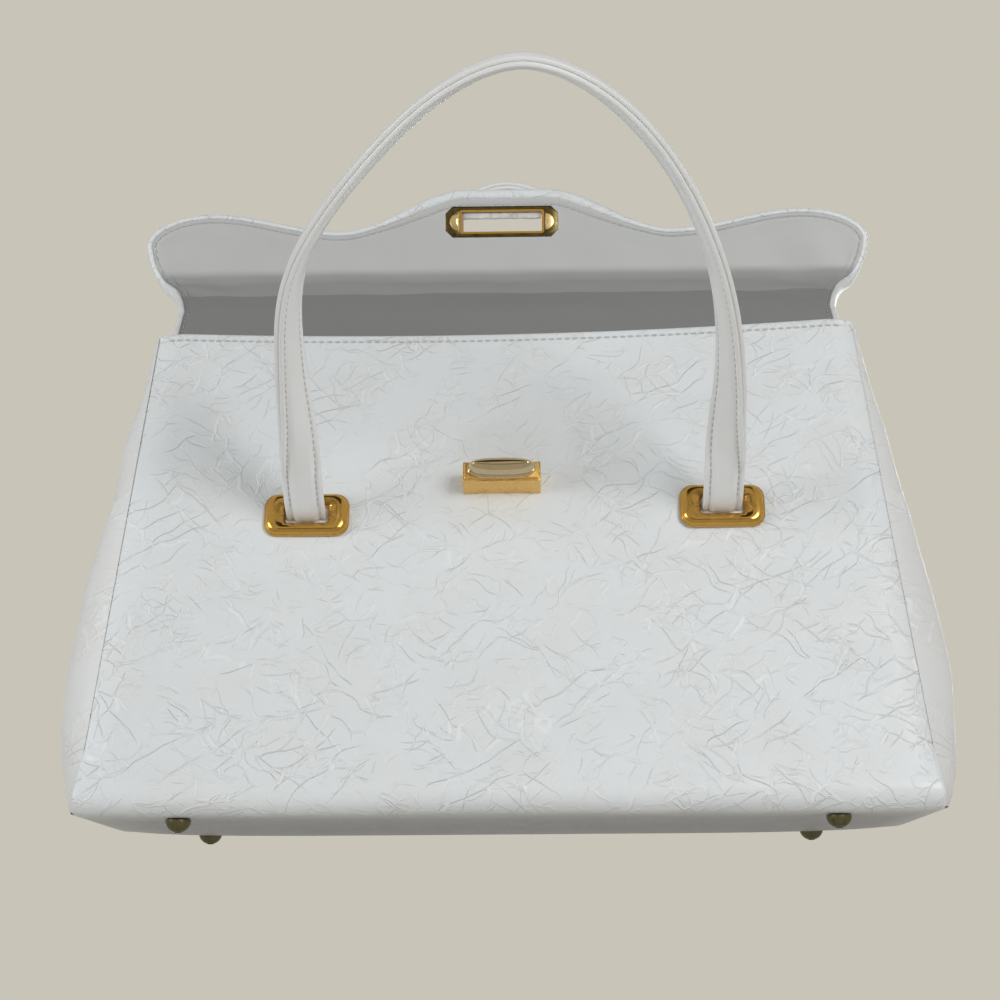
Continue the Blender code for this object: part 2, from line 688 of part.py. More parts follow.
def strap_mesh(name, section):
    """A twisting strap along the handle's line, from a section of (across, through) points."""
    line = handle_line()
    rings = []
    for number, (x, y) in enumerate(line):
        before = line[max(number - 1, 0)]
        after = line[min(number + 1, len(line) - 1)]
        along = Vector((after[0] - before[0], 0, after[1] - before[1])).normalized()
        outward = Vector((-along[2], 0, along[0]))
        twist = math.radians(ARCH_TWIST_DEG) * smooth_share((y - TWIST_START) / (HANDLE_RISE - TWIST_START))
        through = Vector((0, math.cos(twist), 0)) + outward * math.sin(twist)
        across = along.cross(through)
        centre = Vector((x, 0, y))
        below = min(y, 0) / (STRAP_THICKNESS / 2)
        through *= math.sqrt(1 - below * below)
        rings.append([tuple(centre + across * a + through * b) for a, b in section])
    return stacked_mesh(name, rings)


def strap_sections():
    """The two layers, which close on each other at the edges and rise over the core."""
    half, full = STRAP_WIDTH / 2, STRAP_THICKNESS / 2
    core_half = CORE_WIDTH / 2
    edge_in, edge_out = STRAP_SPLIT / 2, STRAP_SPLIT / 2 + STRAP_LAYER
    crown_in = CORE_THICKNESS / 2 + STRAP_SPLIT
    shoulder_share = 0.55
    round_share = 0.85
    tip_share = 0.9
    shoulder = core_half * shoulder_share
    bend = core_half + STRAP_LAYER / 2
    edge_side = edge_out * round_share
    edge_face = half - STRAP_LAYER / 2
    right = [(bend, edge_in), (half, edge_in), (half, edge_side), (edge_face, edge_out), (shoulder, full)]
    left = [(-a, b) for a, b in reversed(right)]
    outer = [(shoulder, crown_in)] + right + left + [(-shoulder, crown_in)]
    inner = [(a, -b) for a, b in outer]
    thin = CORE_THICKNESS / 2
    tip = core_half * tip_share
    core = [(-tip, 0.0), (-shoulder, -thin), (shoulder, -thin)]
    core += [(-a, -b) for a, b in core]
    return outer, core, inner


def make_handle(back):
    """One handle: inner layer, core and outer layer, hinged where its ends leave the plates."""
    face = "back" if back else "front"
    lean = math.radians(BACK_LEAN_DEG if back else FRONT_LEAN_DEG)
    pivot = panel_matrix(False, 0.0, PLATE_DROP, PIVOT_OUT).translation
    matrix = Matrix.Translation(pivot) @ Matrix.Rotation(lean, 4, "X")
    if back:
        matrix = Matrix.Rotation(math.pi, 4, "Z") @ matrix
    names = ("_handle_outer", "_handle_core", "_handle_inner")
    for word, section in zip(names, strap_sections()):
        item = add_mesh(face + word, strap_mesh(face + word, section), STRAP_LEATHER, matrix)
        shade_round(item)


def flap_half(drop):
    """Half the flap's width at a distance below its front fold, down to the lobes."""
    if drop <= FLAP_STRIP_LENGTH:
        return FLAP_NECK_HALF + (FLAP_STRIP_HALF - FLAP_NECK_HALF) * smooth_share(drop / FLAP_STRIP_LENGTH)
    share = (drop - FLAP_STRIP_LENGTH) / (LOBE_SIDE_DROP - FLAP_STRIP_LENGTH)
    return FLAP_STRIP_HALF + (LOBE_HALF - FLAP_STRIP_HALF) * math.sin(min(share, 1.0) * math.pi / 2)


def lower_edge(margin):
    """Points (x, drop) at a margin from the flap's free edge, from the lobe's side to the tongue's middle."""
    points = []
    side = LOBE_HALF - margin - LOBE_TIP_HALF
    for step in range(LOBE_STEPS + 1):
        turn = math.pi / 2 * step / LOBE_STEPS
        x = LOBE_TIP_HALF + side * math.cos(turn)
        points.append((x, LOBE_SIDE_DROP + (LOBE_TIP_DROP - margin - LOBE_SIDE_DROP) * math.sin(turn)))
    for step in range(1, EDGE_STEPS + 1):
        share = step / EDGE_STEPS
        x = LOBE_TIP_HALF + (WAIST_HALF - LOBE_TIP_HALF) * share
        points.append((x, LOBE_TIP_DROP - margin + (WAIST_DROP - LOBE_TIP_DROP) * smooth_share(share)))
    for step in range(1, EDGE_STEPS + 1):
        share = step / EDGE_STEPS
        x = WAIST_HALF + (TONGUE_HALF - WAIST_HALF) * share
        points.append((x, WAIST_DROP - margin + (TONGUE_DROP - WAIST_DROP) * smooth_share(share)))
    return points


def mirrored(points):
    return points + [(-x, y) for x, y in reversed(points)]


def bridge_outline(margin):
    start, end = HINGE_TRIM + margin, BRIDGE_LENGTH - FOLD_TRIM - margin
    return mirrored([(FLAP_NECK_HALF - margin, start), (FLAP_NECK_HALF - margin, end)])


def strip_outline(margin):
    steps = 5
    low, high = FOLD_TRIM + margin, FLAP_STRIP_LENGTH - CREASE_TRIM - margin
    drops = [low + (high - low) * step / steps for step in range(steps + 1)]
    return mirrored([(flap_half(drop) - margin, drop) for drop in drops])


def front_outline(margin):
    low = FLAP_STRIP_LENGTH + CREASE_TRIM + margin
    drops = [low, low + (LOBE_SIDE_DROP - low) / 2]
    side = [(flap_half(drop) - margin, drop) for drop in drops]
    whole = mirrored(side + lower_edge(margin))
    return [(x, drop - FLAP_STRIP_LENGTH) for x, drop in whole]


def flap_matrix(origin, back_deg):
    """Local Y away from the hinge along the flap and Z out of its leather side."""
    turn = math.radians(back_deg)
    along = Vector((0, -math.cos(turn), math.sin(turn)))
    away = Vector((0, math.sin(turn), math.cos(turn)))
    matrix = Matrix.Identity(4)
    for row in range(3):
        matrix[row][0] = (-1, 0, 0)[row]
        matrix[row][1] = along[row]
        matrix[row][2] = away[row]
        matrix[row][3] = origin[row]
    return matrix


def flap_frames():
    hinge = Vector((0, TOP_DEPTH / 2, TOP_HEIGHT + FLAP_LIFT))
    bridge = flap_matrix(hinge, BRIDGE_BACK_DEG)
    fold = bridge @ Vector((0, BRIDGE_LENGTH, 0))
    strip = flap_matrix(fold, STRIP_BACK_DEG)
    crease = strip @ Vector((0, FLAP_STRIP_LENGTH, 0))
    return bridge, strip, flap_matrix(crease, FRONT_BACK_DEG)


def eye_centre_drop():
    """Where the lock stands on the closed flap, measured from the front fold."""
    ahead = Vector((-FLAP_OVERHANG, FLAP_LIFT))
    down = Vector((-math.sin(PANEL_SLOPE), -math.cos(PANEL_SLOPE)))
    return LOCK_DROP - ahead.dot(down)


def eye_slot(clearance, chamfer):
    middle = eye_centre_drop() - FLAP_STRIP_LENGTH + (EYE_SLOT_BELOW - EYE_SLOT_ABOVE) / 2
    height = EYE_SLOT_ABOVE + EYE_SLOT_BELOW + 2 * clearance
    return rounded_outline(EYE_SLOT_WIDTH + 2 * clearance, height, chamfer, 1, (0, middle))


def make_flap():
    """Three hinged lengths, each of leather, stiffener and lining, and the lock's eye on the tongue."""
    outlines = (bridge_outline, strip_outline, front_outline)
    frames = flap_frames()
    hole = eye_slot(EYE_WALL + SEAT_GAP, LOCK_RIM_STEP)
    layers = (
        ("_lining", FLAP_LINING, 0.0, PALE_LINING, 0.0),
        ("_board", FLAP_BOARD, FLAP_LINING + SEAT_GAP, STIFF_BOARD, FLAP_BOARD_MARGIN),
        ("_leather", LEATHER, FLAP_LEATHER_LEVEL, WHITE_LEATHER, 0.0),
    )
    for word, outline, matrix in zip(("flap_bridge", "flap_strip", "flap_front"), outlines, frames):
        for suffix, thickness, level, material, margin in layers:
            rings = [outline(margin)]
            if word == "flap_front":
                rings.append(hole)
            name = word + suffix
            item = add_mesh(name, outline_mesh(name, rings, level, level + thickness), material, matrix)
            item.data.shade_flat()
    band = [(FLAP_NECK_HALF, -BAND_DROP), (-FLAP_NECK_HALF, -BAND_DROP)]
    band += [(-FLAP_NECK_HALF, -BAND_DROP - BAND_HEIGHT), (FLAP_NECK_HALF, -BAND_DROP - BAND_HEIGHT)]
    mesh = outline_mesh("flap_hinge_band", [band], SEAT_GAP, SEAT_GAP + BAND_THICKNESS)
    add_mesh("flap_hinge_band", mesh, WHITE_LEATHER, panel_matrix(True))
    make_eye(frames[2])


def make_eye(matrix):
    """The outer frame with a wall lining the slot, and the inner frame with a half-round pad at each end."""
    slot = eye_slot(0.0, LOCK_RIM_STEP / 2)
    middle = (0, eye_centre_drop() - FLAP_STRIP_LENGTH + (EYE_SLOT_BELOW - EYE_SLOT_ABOVE) / 2)
    rim = rounded_outline(EYE_WIDTH, EYE_HEIGHT, EYE_CHAMFER, 1, middle)
    low = FLAP_THICKNESS + SEAT_GAP
    outer_mesh = outline_mesh("eye_plate_outer", [rim, slot], low, low + EYE_THICKNESS)
    outer = add_mesh("eye_plate_outer", outer_mesh, GOLD, matrix)
    wall = eye_slot(EYE_WALL, LOCK_RIM_STEP)
    sleeve = outline_mesh("eye_sleeve", [wall, slot], -EYE_THICKNESS / 2, low + EYE_THICKNESS / 2)
    sleeve_item = add_mesh("eye_sleeve", sleeve, None, matrix, cutter=True)
    join = outer.modifiers.new("sleeve", "BOOLEAN")
    join.operation = "UNION"
    join.solver = "EXACT"
    join.object = sleeve_item
    inner_hole = eye_slot(EYE_WALL + SEAT_GAP, LOCK_RIM_STEP)
    low_inner = -SEAT_GAP - EYE_THICKNESS
    inner_mesh = outline_mesh("eye_plate_inner", [rim, inner_hole], low_inner, -SEAT_GAP)
    inner = add_mesh("eye_plate_inner", inner_mesh, AGED_BRASS, matrix)
    flat = EYE_SLOT_WIDTH / 2 + EYE_WALL + 2 * SEAT_GAP
    for side, word in ((-1, "left"), (1, "right")):
        turns = [math.pi * step / ROUND_STEPS - math.pi / 2 for step in range(ROUND_STEPS + 1)]
        outline = []
        for turn in turns:
            x = side * (flat + EYE_PAD_RADIUS * math.cos(turn))
            outline.append((x, middle[1] + EYE_PAD_RADIUS * math.sin(turn)))
        pad_name = "eye_pad_" + word
        pad_mesh = outline_mesh(pad_name, [outline], low_inner - EYE_PAD_RISE, -EYE_THICKNESS / 2)
        join = inner.modifiers.new(pad_name, "BOOLEAN")
        join.operation = "UNION"
        join.solver = "EXACT"
        join.object = add_mesh(pad_name, pad_mesh, None, matrix, cutter=True)


def stand_on_origin():
    """Carry every piece on one empty, and move it so that the origin lies under the middle of the whole."""
    stand = bpy.data.objects.new("bag_stand", None)
    bpy.context.scene.collection.objects.link(stand)
    bpy.context.view_layer.update()
    graph = bpy.context.evaluated_depsgraph_get()
    places = []
    for item in BAG.objects:
        seen = item.evaluated_get(graph)
        places += [item.matrix_world @ vert.co for vert in seen.to_mesh().vertices]
        seen.to_mesh_clear()
    low, high = ([pick(place[axis] for place in places) for axis in range(3)] for pick in (min, max))
    for item in list(BAG.objects) + list(CUTTERS.objects):
        if item.parent is None:
            item.parent = stand
    stand.location = (-(low[0] + high[0]) / 2, -(low[1] + high[1]) / 2, -low[2])
    return stand


make_shell()
make_gusset("left_gusset", -1)
make_gusset("right_gusset", 1)
make_boards()
wall_surface("lining", LINING_INSET, LINING, INNER_SIDE_MARGIN, BOARD_EDGE_MARGIN, PALE_LINING)
make_pocket()
make_feet()
make_strap_plates()
make_lock()
make_handle(False)
make_handle(True)
make_flap()
STAND = stand_on_origin()
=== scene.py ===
import json
import math

import bpy
import numpy as np
from mathutils import Matrix, Vector


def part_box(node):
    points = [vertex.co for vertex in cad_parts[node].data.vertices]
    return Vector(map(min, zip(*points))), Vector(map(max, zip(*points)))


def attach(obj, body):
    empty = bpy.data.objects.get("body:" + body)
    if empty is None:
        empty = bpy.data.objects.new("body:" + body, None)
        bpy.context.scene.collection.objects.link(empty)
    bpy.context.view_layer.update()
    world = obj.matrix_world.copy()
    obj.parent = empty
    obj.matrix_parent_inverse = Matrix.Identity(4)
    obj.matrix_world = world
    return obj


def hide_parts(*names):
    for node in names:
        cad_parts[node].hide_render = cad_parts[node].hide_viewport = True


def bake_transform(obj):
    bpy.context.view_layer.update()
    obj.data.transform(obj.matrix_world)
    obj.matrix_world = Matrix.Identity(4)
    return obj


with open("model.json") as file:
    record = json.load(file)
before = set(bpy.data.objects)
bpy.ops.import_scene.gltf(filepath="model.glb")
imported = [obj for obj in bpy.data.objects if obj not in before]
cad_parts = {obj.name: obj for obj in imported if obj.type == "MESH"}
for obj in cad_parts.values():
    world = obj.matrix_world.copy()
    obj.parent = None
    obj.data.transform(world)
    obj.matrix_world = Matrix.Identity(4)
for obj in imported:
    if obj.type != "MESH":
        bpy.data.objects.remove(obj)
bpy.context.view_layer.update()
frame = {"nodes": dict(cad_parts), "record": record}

# Body of the bag, metres
TOP_HEIGHT = 0.187
TOP_DEPTH = 0.024
BASE_DEPTH = 0.104
TOP_HALF_WIDTH = 0.133
BASE_HALF_WIDTH = 0.151
CORNER_RADIUS = 0.008
TOP_EDGE_DIP = 0.004
TOP_TILT = 0.0019
BASE_SAG = 0.0026
LINING_DEPTH = 0.0045
POCKET_HALF = 0.070
POCKET_TOP = 0.050
POCKET_LOW = 0.140
SLOPE = math.atan2((BASE_DEPTH - TOP_DEPTH) / 2, TOP_HEIGHT)
SIDE_ROLL = 0.0019
SIDE_ROUNDING = 0.0030
ROUNDED_WIDTH = 0.013
PANEL_FULLNESS = 0.0008
PANEL_RIPPLE = 0.00022
FOLD_DEPTH = 0.0125
GUSSET_INSET = 0.0021
GUSSET_THICKNESS = 0.0016
GUSSET_CRUMPLE = 0.00022
LINING_INSET = 0.0042
TOP_ROLL = 0.0016

# Fittings
LOCK_DROP = 0.066
LOCK_LOWER = 0.0015
LOCK_LEFT = 0.0014
LOCK_WIDTH = 0.0282
LOCK_HEIGHT = 0.0077
LOCK_PROJECTION = 0.0122
KNOB_LENGTH = 0.0248
KNOB_WIDTH = 0.0074
KNOB_BULGE = 0.0046
PLATE_DROP = 0.077
PLATE_SPREAD = 0.0755
PLATE_WIDTH = 0.0310
PLATE_HEIGHT = 0.0165
PLATE_CORNER = 0.0050
WINDOW_WIDTH = 0.0154
WINDOW_HEIGHT = 0.0066
WINDOW_CORNER = 0.0012
FRONT_SLIDE = 0.0030
PLATE_SINK = {-1: 0.0026, 1: 0.0004}
FOOT_HALF_SPAN = 0.115
FOOT_HALF_DEPTH = 0.0365
FOOT_RADIUS = 0.0045
FOOT_LOW = -0.0050

# Handles
STRAP_WIDTH = 0.0142
STRAP_THICKNESS = 0.0052
STRAP_SPLIT = 0.00004
PIVOT_OUT = 0.0075
HANDLE_RISE = 0.1790
BACK_EXTRA_RISE = 0.0070
ARCH_START = 0.0450
ARCH_POWER = 2 / 1.75
APEX_SWAY = 0.0045
LEFT_BOW = 0.0079
LEFT_BOW_AT = 0.1050
RIGHT_BOW = 0.0014
RIGHT_BOW_AT = 0.0500
STRAP_BEND = 0.0070
LEG_TWIST = math.radians(73)
ARCH_TWIST = math.radians(62)
TWIST_START = 0.0140
TWIST_LENGTH = 0.0280
TWIST_EASE = 0.1100
FRONT_LEAN = math.radians(55)
BACK_LEAN = math.radians(21.5)
ROOT_TOP = 0.0180
STITCH_OUT = 0.0050
STITCH_HEIGHT = 0.00128
STITCH_GROOVE = 0.00050
STRAP_BORDER = 0.00175
STRAP_ROUND = 0.0007

# Flap
FLAP_LIFT = 0.0006
BRIDGE_LENGTH = 0.0260
STRIP_LENGTH = 0.043
NECK_HALF = 0.132
LOBE_HALF = 0.1525
LOBE_SIDE = 0.0585
LOBE_TIP = 0.0725
LOBE_TIP_HALF = 0.124
WAIST_DROP = 0.0645
WAIST_HALF = 0.070
TONGUE_DROP = 0.082
TONGUE_HALF = 0.017
SIDE_DROPS = (0.0, 0.015, 0.030, 0.040, 0.050, LOBE_SIDE)
SIDE_HALVES = (NECK_HALF, 0.1350, 0.1395, 0.1455, 0.1510, LOBE_HALF)
FLAP_THICKNESS = 0.0038
BRIDGE_BACK = math.radians(132)
STRIP_BACK = math.radians(146)
FRONT_BACK = math.radians(83)
BAND_LOW = -0.0118
EYE_WIDTH = 0.0476
EYE_LEFT = 0.0020
EYE_HEIGHT = 0.0134
EYE_THICKNESS = 0.0011
EYE_CHAMFER = 0.0030
SLOT_WIDTH = 0.0340
SLOT_ABOVE = 0.0027
SLOT_BELOW = 0.0058
SLOT_WALL = 0.0009
PAD_RADIUS = 0.0036

STITCH_PITCH = 0.0030
BACKDROP = (0.5776, 0.5520, 0.4793)
FLOOR_PALE = 0.65
FLOOR_HALF = 3.0
CARDS = (
    ((-0.5, -1.30, 1.20), (0.5, -1.30, 1.20), (0.5, -0.35, 1.20), (-0.5, -0.35, 1.20)),
    ((-0.35, -0.85, 0.02), (0.35, -0.85, 0.02), (0.35, -0.85, 0.20), (-0.35, -0.85, 0.20)),
)

SIDES = ((-1, "left"), (1, "right"))
FACES = ((False, "front"), (True, "back"))
UP = np.array([0, math.sin(SLOPE), math.cos(SLOPE)])
AWAY = np.array([0, -math.cos(SLOPE), math.sin(SLOPE)])


def bag_place():
    """The middle of the base leather's underside in the frame, from where the first foot is."""
    low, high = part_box("foot_1")
    x, y = (low[0] + high[0]) / 2, (low[1] + high[1]) / 2
    return np.array([x + FOOT_HALF_SPAN, y + FOOT_HALF_DEPTH, low[2] - FOOT_LOW])


BAG = bag_place()


def smooth(t):
    t = np.clip(t, 0, 1)
    return t * t * (3 - 2 * t)


def unit(vectors):
    return vectors / np.linalg.norm(vectors, axis=-1, keepdims=True)


def reach_along(path):
    """How far along a path each of its places is."""
    return np.concatenate([[0], np.cumsum(np.linalg.norm(np.diff(path, axis=0), axis=1))])


def read_off(at, reach, path):
    """The places of a path at other distances along it."""
    return np.column_stack([np.interp(at, reach, column) for column in np.asarray(path).T])


def evened(values, width, **padding):
    """Values smoothed by a running mean."""
    return np.convolve(np.pad(values, width // 2, **padding), np.ones(width) / width, mode="valid")


def waves(x, y, scale, seed, count=14):
    """A smooth random field of about unit height, from seeded waves of about that length."""
    rng = np.random.default_rng(seed)
    total = np.zeros_like(x, dtype=float)
    for _ in range(count):
        turn = rng.uniform(0, math.tau)
        length = scale * rng.uniform(0.6, 1.8)
        phase = rng.uniform(0, math.tau)
        total += np.sin((x * math.cos(turn) + y * math.sin(turn)) * math.tau / length + phase)
    return total / math.sqrt(count / 2)


# Materials

def node_material(name):
    material = bpy.data.materials.new(name)
    material.use_nodes = True
    tree = material.node_tree
    return material, tree, tree.nodes["Principled BSDF"]


def set_inputs(tree, node, inputs):
    for key, value in inputs.items():
        if isinstance(value, bpy.types.NodeSocket):
            tree.links.new(value, node.inputs[key])
        else:
            node.inputs[key].default_value = value


def add_node(tree, kind, inputs=None, **settings):
    node = tree.nodes.new(kind)
    for key, value in settings.items():
        setattr(node, key, value)
    set_inputs(tree, node, inputs or {})
    return node


def maths(tree, operation, a, b, kind="ShaderNodeMath"):
    return add_node(tree, kind, {0: a, 1: b}, operation=operation).outputs[0]


def map_range(tree, value, low, high, to_low=0.0, to_high=1.0, kind="SMOOTHSTEP"):
    names = {"Value": value, "From Min": low, "From Max": high, "To Min": to_low, "To Max": to_high}
    return add_node(tree, "ShaderNodeMapRange", names, interpolation_type=kind).outputs["Result"]


def noise(tree, vector, scale, detail, roughness, distortion=0.0, out="Fac"):
    names = {"Vector": vector, "Scale": scale, "Detail": detail, "Roughness": roughness, "Distortion": distortion}
    return add_node(tree, "ShaderNodeTexNoise", names).outputs[out]


def bump(tree, distance, height, **normal):
    names = {"Strength": 1.0, "Distance": distance, "Height": height, **normal}
    return add_node(tree, "ShaderNodeBump", names).outputs["Normal"]


def mix_colour(tree, share, first, second):
    """Sockets 6 and 7 are the mix node's two colours, and its output 2 is the mixed one."""
    first, second = (c if isinstance(c, bpy.types.NodeSocket) else (*c, 1.0) for c in (first, second))
    return add_node(tree, "ShaderNodeMix", {0: share, 6: first, 7: second}, data_type="RGBA").outputs[2]


def crease_lines(tree, vector, turn, stretch, scale, width, seed, cover):
    """Raised broken lines: borders of long cells that lie along one direction, kept only in patches."""
    vectors = "ShaderNodeVectorMath"
    wander = noise(tree, vector, 5.0 + seed, 1.0, 0.5, out="Color")
    shift = maths(tree, "SUBTRACT", wander, (0.5, 0.5, 0.5), vectors)
    moved = maths(tree, "ADD", vector, maths(tree, "MULTIPLY", shift, (0.1, 0.1, 0.1), vectors), vectors)
    names = {"Vector": moved, "Location": (seed * 1.7, seed * 0.9, 0), "Rotation": (0, 0, turn)}
    names["Scale"] = (1 / stretch, 1, 1)
    placed = add_node(tree, "ShaderNodeMapping", names, vector_type="TEXTURE").outputs[0]
    cells = add_node(tree, "ShaderNodeTexVoronoi", {"Vector": placed, "Scale": scale}, feature="DISTANCE_TO_EDGE")
    line = map_range(tree, cells.outputs["Distance"], 0.0, width, 1.0, 0.0)
    kept = map_range(tree, noise(tree, moved, scale * 0.9, 2.0, 0.6), cover, cover + 0.10)
    return maths(tree, "MULTIPLY", line, kept)


def leather(name, colour, roughness, relief, grain, coat=0.0, painted_shade_to=None, pores_across=120.0):
    """Coated leather with crushed creases and a fine grain, mapped in tenths of a metre along the skin; the crease
    ridges carry a painted highlight, and an optional span along the skin paints shade.
    """
    material, tree, shader = node_material(name)
    place = add_node(tree, "ShaderNodeUVMap", uv_map="UVMap").outputs["UV"]
    fine = noise(tree, place, pores_across, 3.0, 0.6)
    pores = add_node(tree, "ShaderNodeTexVoronoi", {"Vector": place, "Scale": pores_across * 1.25}).outputs["Distance"]
    skin = maths(tree, "ADD", maths(tree, "MULTIPLY", fine, 0.6), maths(tree, "MULTIPLY", pores, 0.4))
    normal = bump(tree, grain, skin)
    spread = map_range(tree, noise(tree, place, 4.0, 4.0, 0.6), 0.35, 0.7)
    tone = mix_colour(tree, spread, colour, [c * warm for c, warm in zip(colour, (0.991, 0.973, 0.961))])
    if relief:
        lines = 0.0
        for *crease, weight in (
            (1.00, 3.4, 3.8, 0.032, 1, 0.48, 1.0),
            (-0.75, 3.4, 4.2, 0.034, 2, 0.49, 0.9),
            (0.55, 3.0, 5.0, 0.040, 3, 0.50, 0.8),
            (-1.20, 3.0, 6.0, 0.045, 4, 0.51, 0.7),
            (1.35, 2.4, 9.0, 0.065, 5, 0.50, 0.6),
        ):
            line = maths(tree, "MULTIPLY", crease_lines(tree, place, *crease), weight)
            lines = maths(tree, "MAXIMUM", lines, line)
        swell = maths(tree, "MULTIPLY", noise(tree, place, 7.0, 3.0, 0.55), 0.9)
        normal = bump(tree, relief, maths(tree, "ADD", lines, swell), Normal=normal)
        # Painted highlight: the crease ridges are lightened where the lines rise.
        ridge_highlight = map_range(tree, lines, 0.2, 0.9, 0.0, 0.55)
        tone = mix_colour(tree, ridge_highlight, tone, [min(0.95, c * 1.13) for c in colour])
    # Painted shade: below the start of the span the colour is the dark one, blending to the plain tone by its end.
    if painted_shade_to:
        start, end, dark = painted_shade_to
        length = add_node(tree, "ShaderNodeSeparateXYZ", {"Vector": place}).outputs["Y"]
        tone = mix_colour(tree, map_range(tree, length, start, end), dark, tone)
    gloss = map_range(tree, fine, 0.3, 0.7, roughness - 0.05, roughness + 0.07, "LINEAR")
    names = {"Normal": normal, "Base Color": tone, "Roughness": gloss, "Coat Weight": coat, "Coat Roughness": 0.3}
    set_inputs(tree, shader, names)
    return material


def metal(name, colour, roughness, wear, brushed=0.0, tarnish=0.0):
    material, tree, shader = node_material(name)
    place = add_node(tree, "ShaderNodeTexCoord").outputs["Object"]
    dull = map_range(tree, noise(tree, place, 260.0, 4.0, 0.6), 0.4, 0.72, roughness, roughness + wear)
    share = map_range(tree, noise(tree, place, 420.0, 5.0, 0.65), 0.50, 0.75, 0.0, 0.25 + 0.6 * tarnish)
    tone = mix_colour(tree, share, colour, [c * (0.55 - 0.3 * tarnish) for c in colour])
    set_inputs(tree, shader, {"Metallic": 1.0, "Roughness": dull, "Base Color": tone})
    if brushed:
        drawn = add_node(tree, "ShaderNodeMapping", {"Vector": place, "Scale": (1, 9, 9)}).outputs[0]
        set_inputs(tree, shader, {"Normal": bump(tree, brushed, noise(tree, drawn, 700.0, 3.0, 0.6))})
    return material


def plain_fibre(name, colour, roughness, scale, depth):
    material, tree, shader = node_material(name)
    place = add_node(tree, "ShaderNodeTexCoord").outputs["Object"]
    fibres = noise(tree, place, scale, 5.0, 0.7, 0.6)
    tone = mix_colour(tree, fibres, [c * 0.82 for c in colour], [min(1, c * 1.12) for c in colour])
    set_inputs(tree, shader, {"Base Color": tone, "Roughness": roughness, "Normal": bump(tree, depth, fibres)})
    return material


WHITE = (0.825, 0.853, 0.866)
SKIN = leather("crushed_white_leather", WHITE, 0.40, 0.00026, 0.00006, coat=0.15)
GUSSET_SKIN = leather("soft_white_leather", (0.82, 0.825, 0.825), 0.42, 0.00018, 0.00004, coat=0.15)
STRAP_SKIN = leather("strap_white_leather", (0.82, 0.825, 0.825), 0.42, 0.0, 0.000015, coat=0.1, pores_across=32.0)
# Painted shade: SHADED is the lining's grey where it lies in shade, on the flap's strip and just above its fold; the
# lining above that is lighter.
SHADED = (0.36, 0.36, 0.355)
LINING_SKIN = leather("smooth_grey_lining", (0.57, 0.575, 0.57), 0.5, 0.0, 0.00003, painted_shade_to=(0.70, 0.75, SHADED))
# The lining of the flap's root and strip is painted shade throughout, darker still toward the bridge.
FOLD_SKIN = leather("shaded_grey_lining", SHADED, 0.55, 0.0, 0.00003, painted_shade_to=(0.44, 0.68, (0.26, 0.26, 0.255)))
INNER_SKIN = leather("inside_grey_lining", (0.55, 0.55, 0.54), 0.6, 0.0, 0.00003)
# The thread is grey, darker than the leather, as painted shade so that the stitch lines read dark.
THREAD = plain_fibre("white_thread", (0.58, 0.59, 0.585), 0.6, 900.0, 0.00005)
GOLD = metal("gold_plating", (0.60, 0.35, 0.085), 0.10, 0.16, tarnish=0.25)
BRUSHED_GOLD = metal("brushed_gold", (0.80, 0.52, 0.17), 0.24, 0.16, brushed=0.00006)
BRIGHT = metal("bright_pale_gold", (0.60, 0.48, 0.30), 0.05, 0.08)
PALE_GOLD = metal("pale_matt_gold", (0.74, 0.55, 0.28), 0.26, 0.15)
OLIVE_BRASS = metal("dark_olive_brass", (0.12, 0.09, 0.035), 0.25, 0.2, tarnish=0.5)
AGED = metal("aged_brass_feet", (0.16, 0.145, 0.08), 0.2, 0.25, tarnish=0.7)
STEEL = metal("plain_zinc_steel", (0.55, 0.55, 0.56), 0.35, 0.2, brushed=0.00003)
BOARD = plain_fibre("fibre_board", (0.45, 0.38, 0.30), 0.85, 500.0, 0.0001)


# Meshes

def new_object(name, data):
    item = bpy.data.objects.new(name, data)
    bpy.context.scene.collection.objects.link(item)
    return item


def grid_faces(rows, columns, closed=False):
    row = np.arange(rows - 1)[:, None]
    column = np.arange(columns if closed else columns - 1)[None, :]
    after = (column + 1) % columns
    a = row * columns + column
    b = row * columns + after
    c = (row + 1) * columns + after
    d = (row + 1) * columns + column
    return np.stack([a + 0 * row, b, c, d], axis=-1).reshape(-1, 4)


def make_piece(name, points, faces, material, uv=None, sharp=math.radians(50)):
    """A mesh piece from points, quads and, for skins, a place along the skin for each point."""
    points = np.asarray(points, float).reshape(-1, 3) + BAG
    mesh = bpy.data.meshes.new(name)
    mesh.from_pydata(points.tolist(), [], faces.tolist() if isinstance(faces, np.ndarray) else faces)
    if uv is not None:
        flat = np.asarray(uv, float).reshape(-1, 2)
        layer = mesh.uv_layers.new(name="UVMap")
        index = np.empty(len(mesh.loops), dtype=np.int32)
        mesh.loops.foreach_get("vertex_index", index)
        layer.data.foreach_set("uv", flat[index].ravel().astype(np.float32))
    mesh.materials.append(material)
    mesh.validate()
    mesh.shade_smooth()
    mesh.set_sharp_from_angle(angle=sharp)
    piece = new_object(name, mesh)
    return piece


def blend(piece, bodies, start, end):
    """Bakes a piece's placement into its mesh."""
    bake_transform(piece)


def skin_map(across, along):
    """Each point's place along a skin, in tenths of a metre."""
    return np.stack(np.broadcast_arrays(across, along), axis=-1) * 10


def on_body(piece, body, *nodes):
    """Lets a piece ride on a body, in the place of the solids named."""
    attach(piece, body)
    if nodes:
        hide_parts(*nodes)


def grid_piece(name, points, material, uv, closed=False, flip=False):
    """points is rows x columns x 3; the faces look along columns x rows, or the other way with flip."""
    faces = grid_faces(*points.shape[:2], closed)
    return make_piece(name, points, faces[:, ::-1] if flip else faces, material, uv)


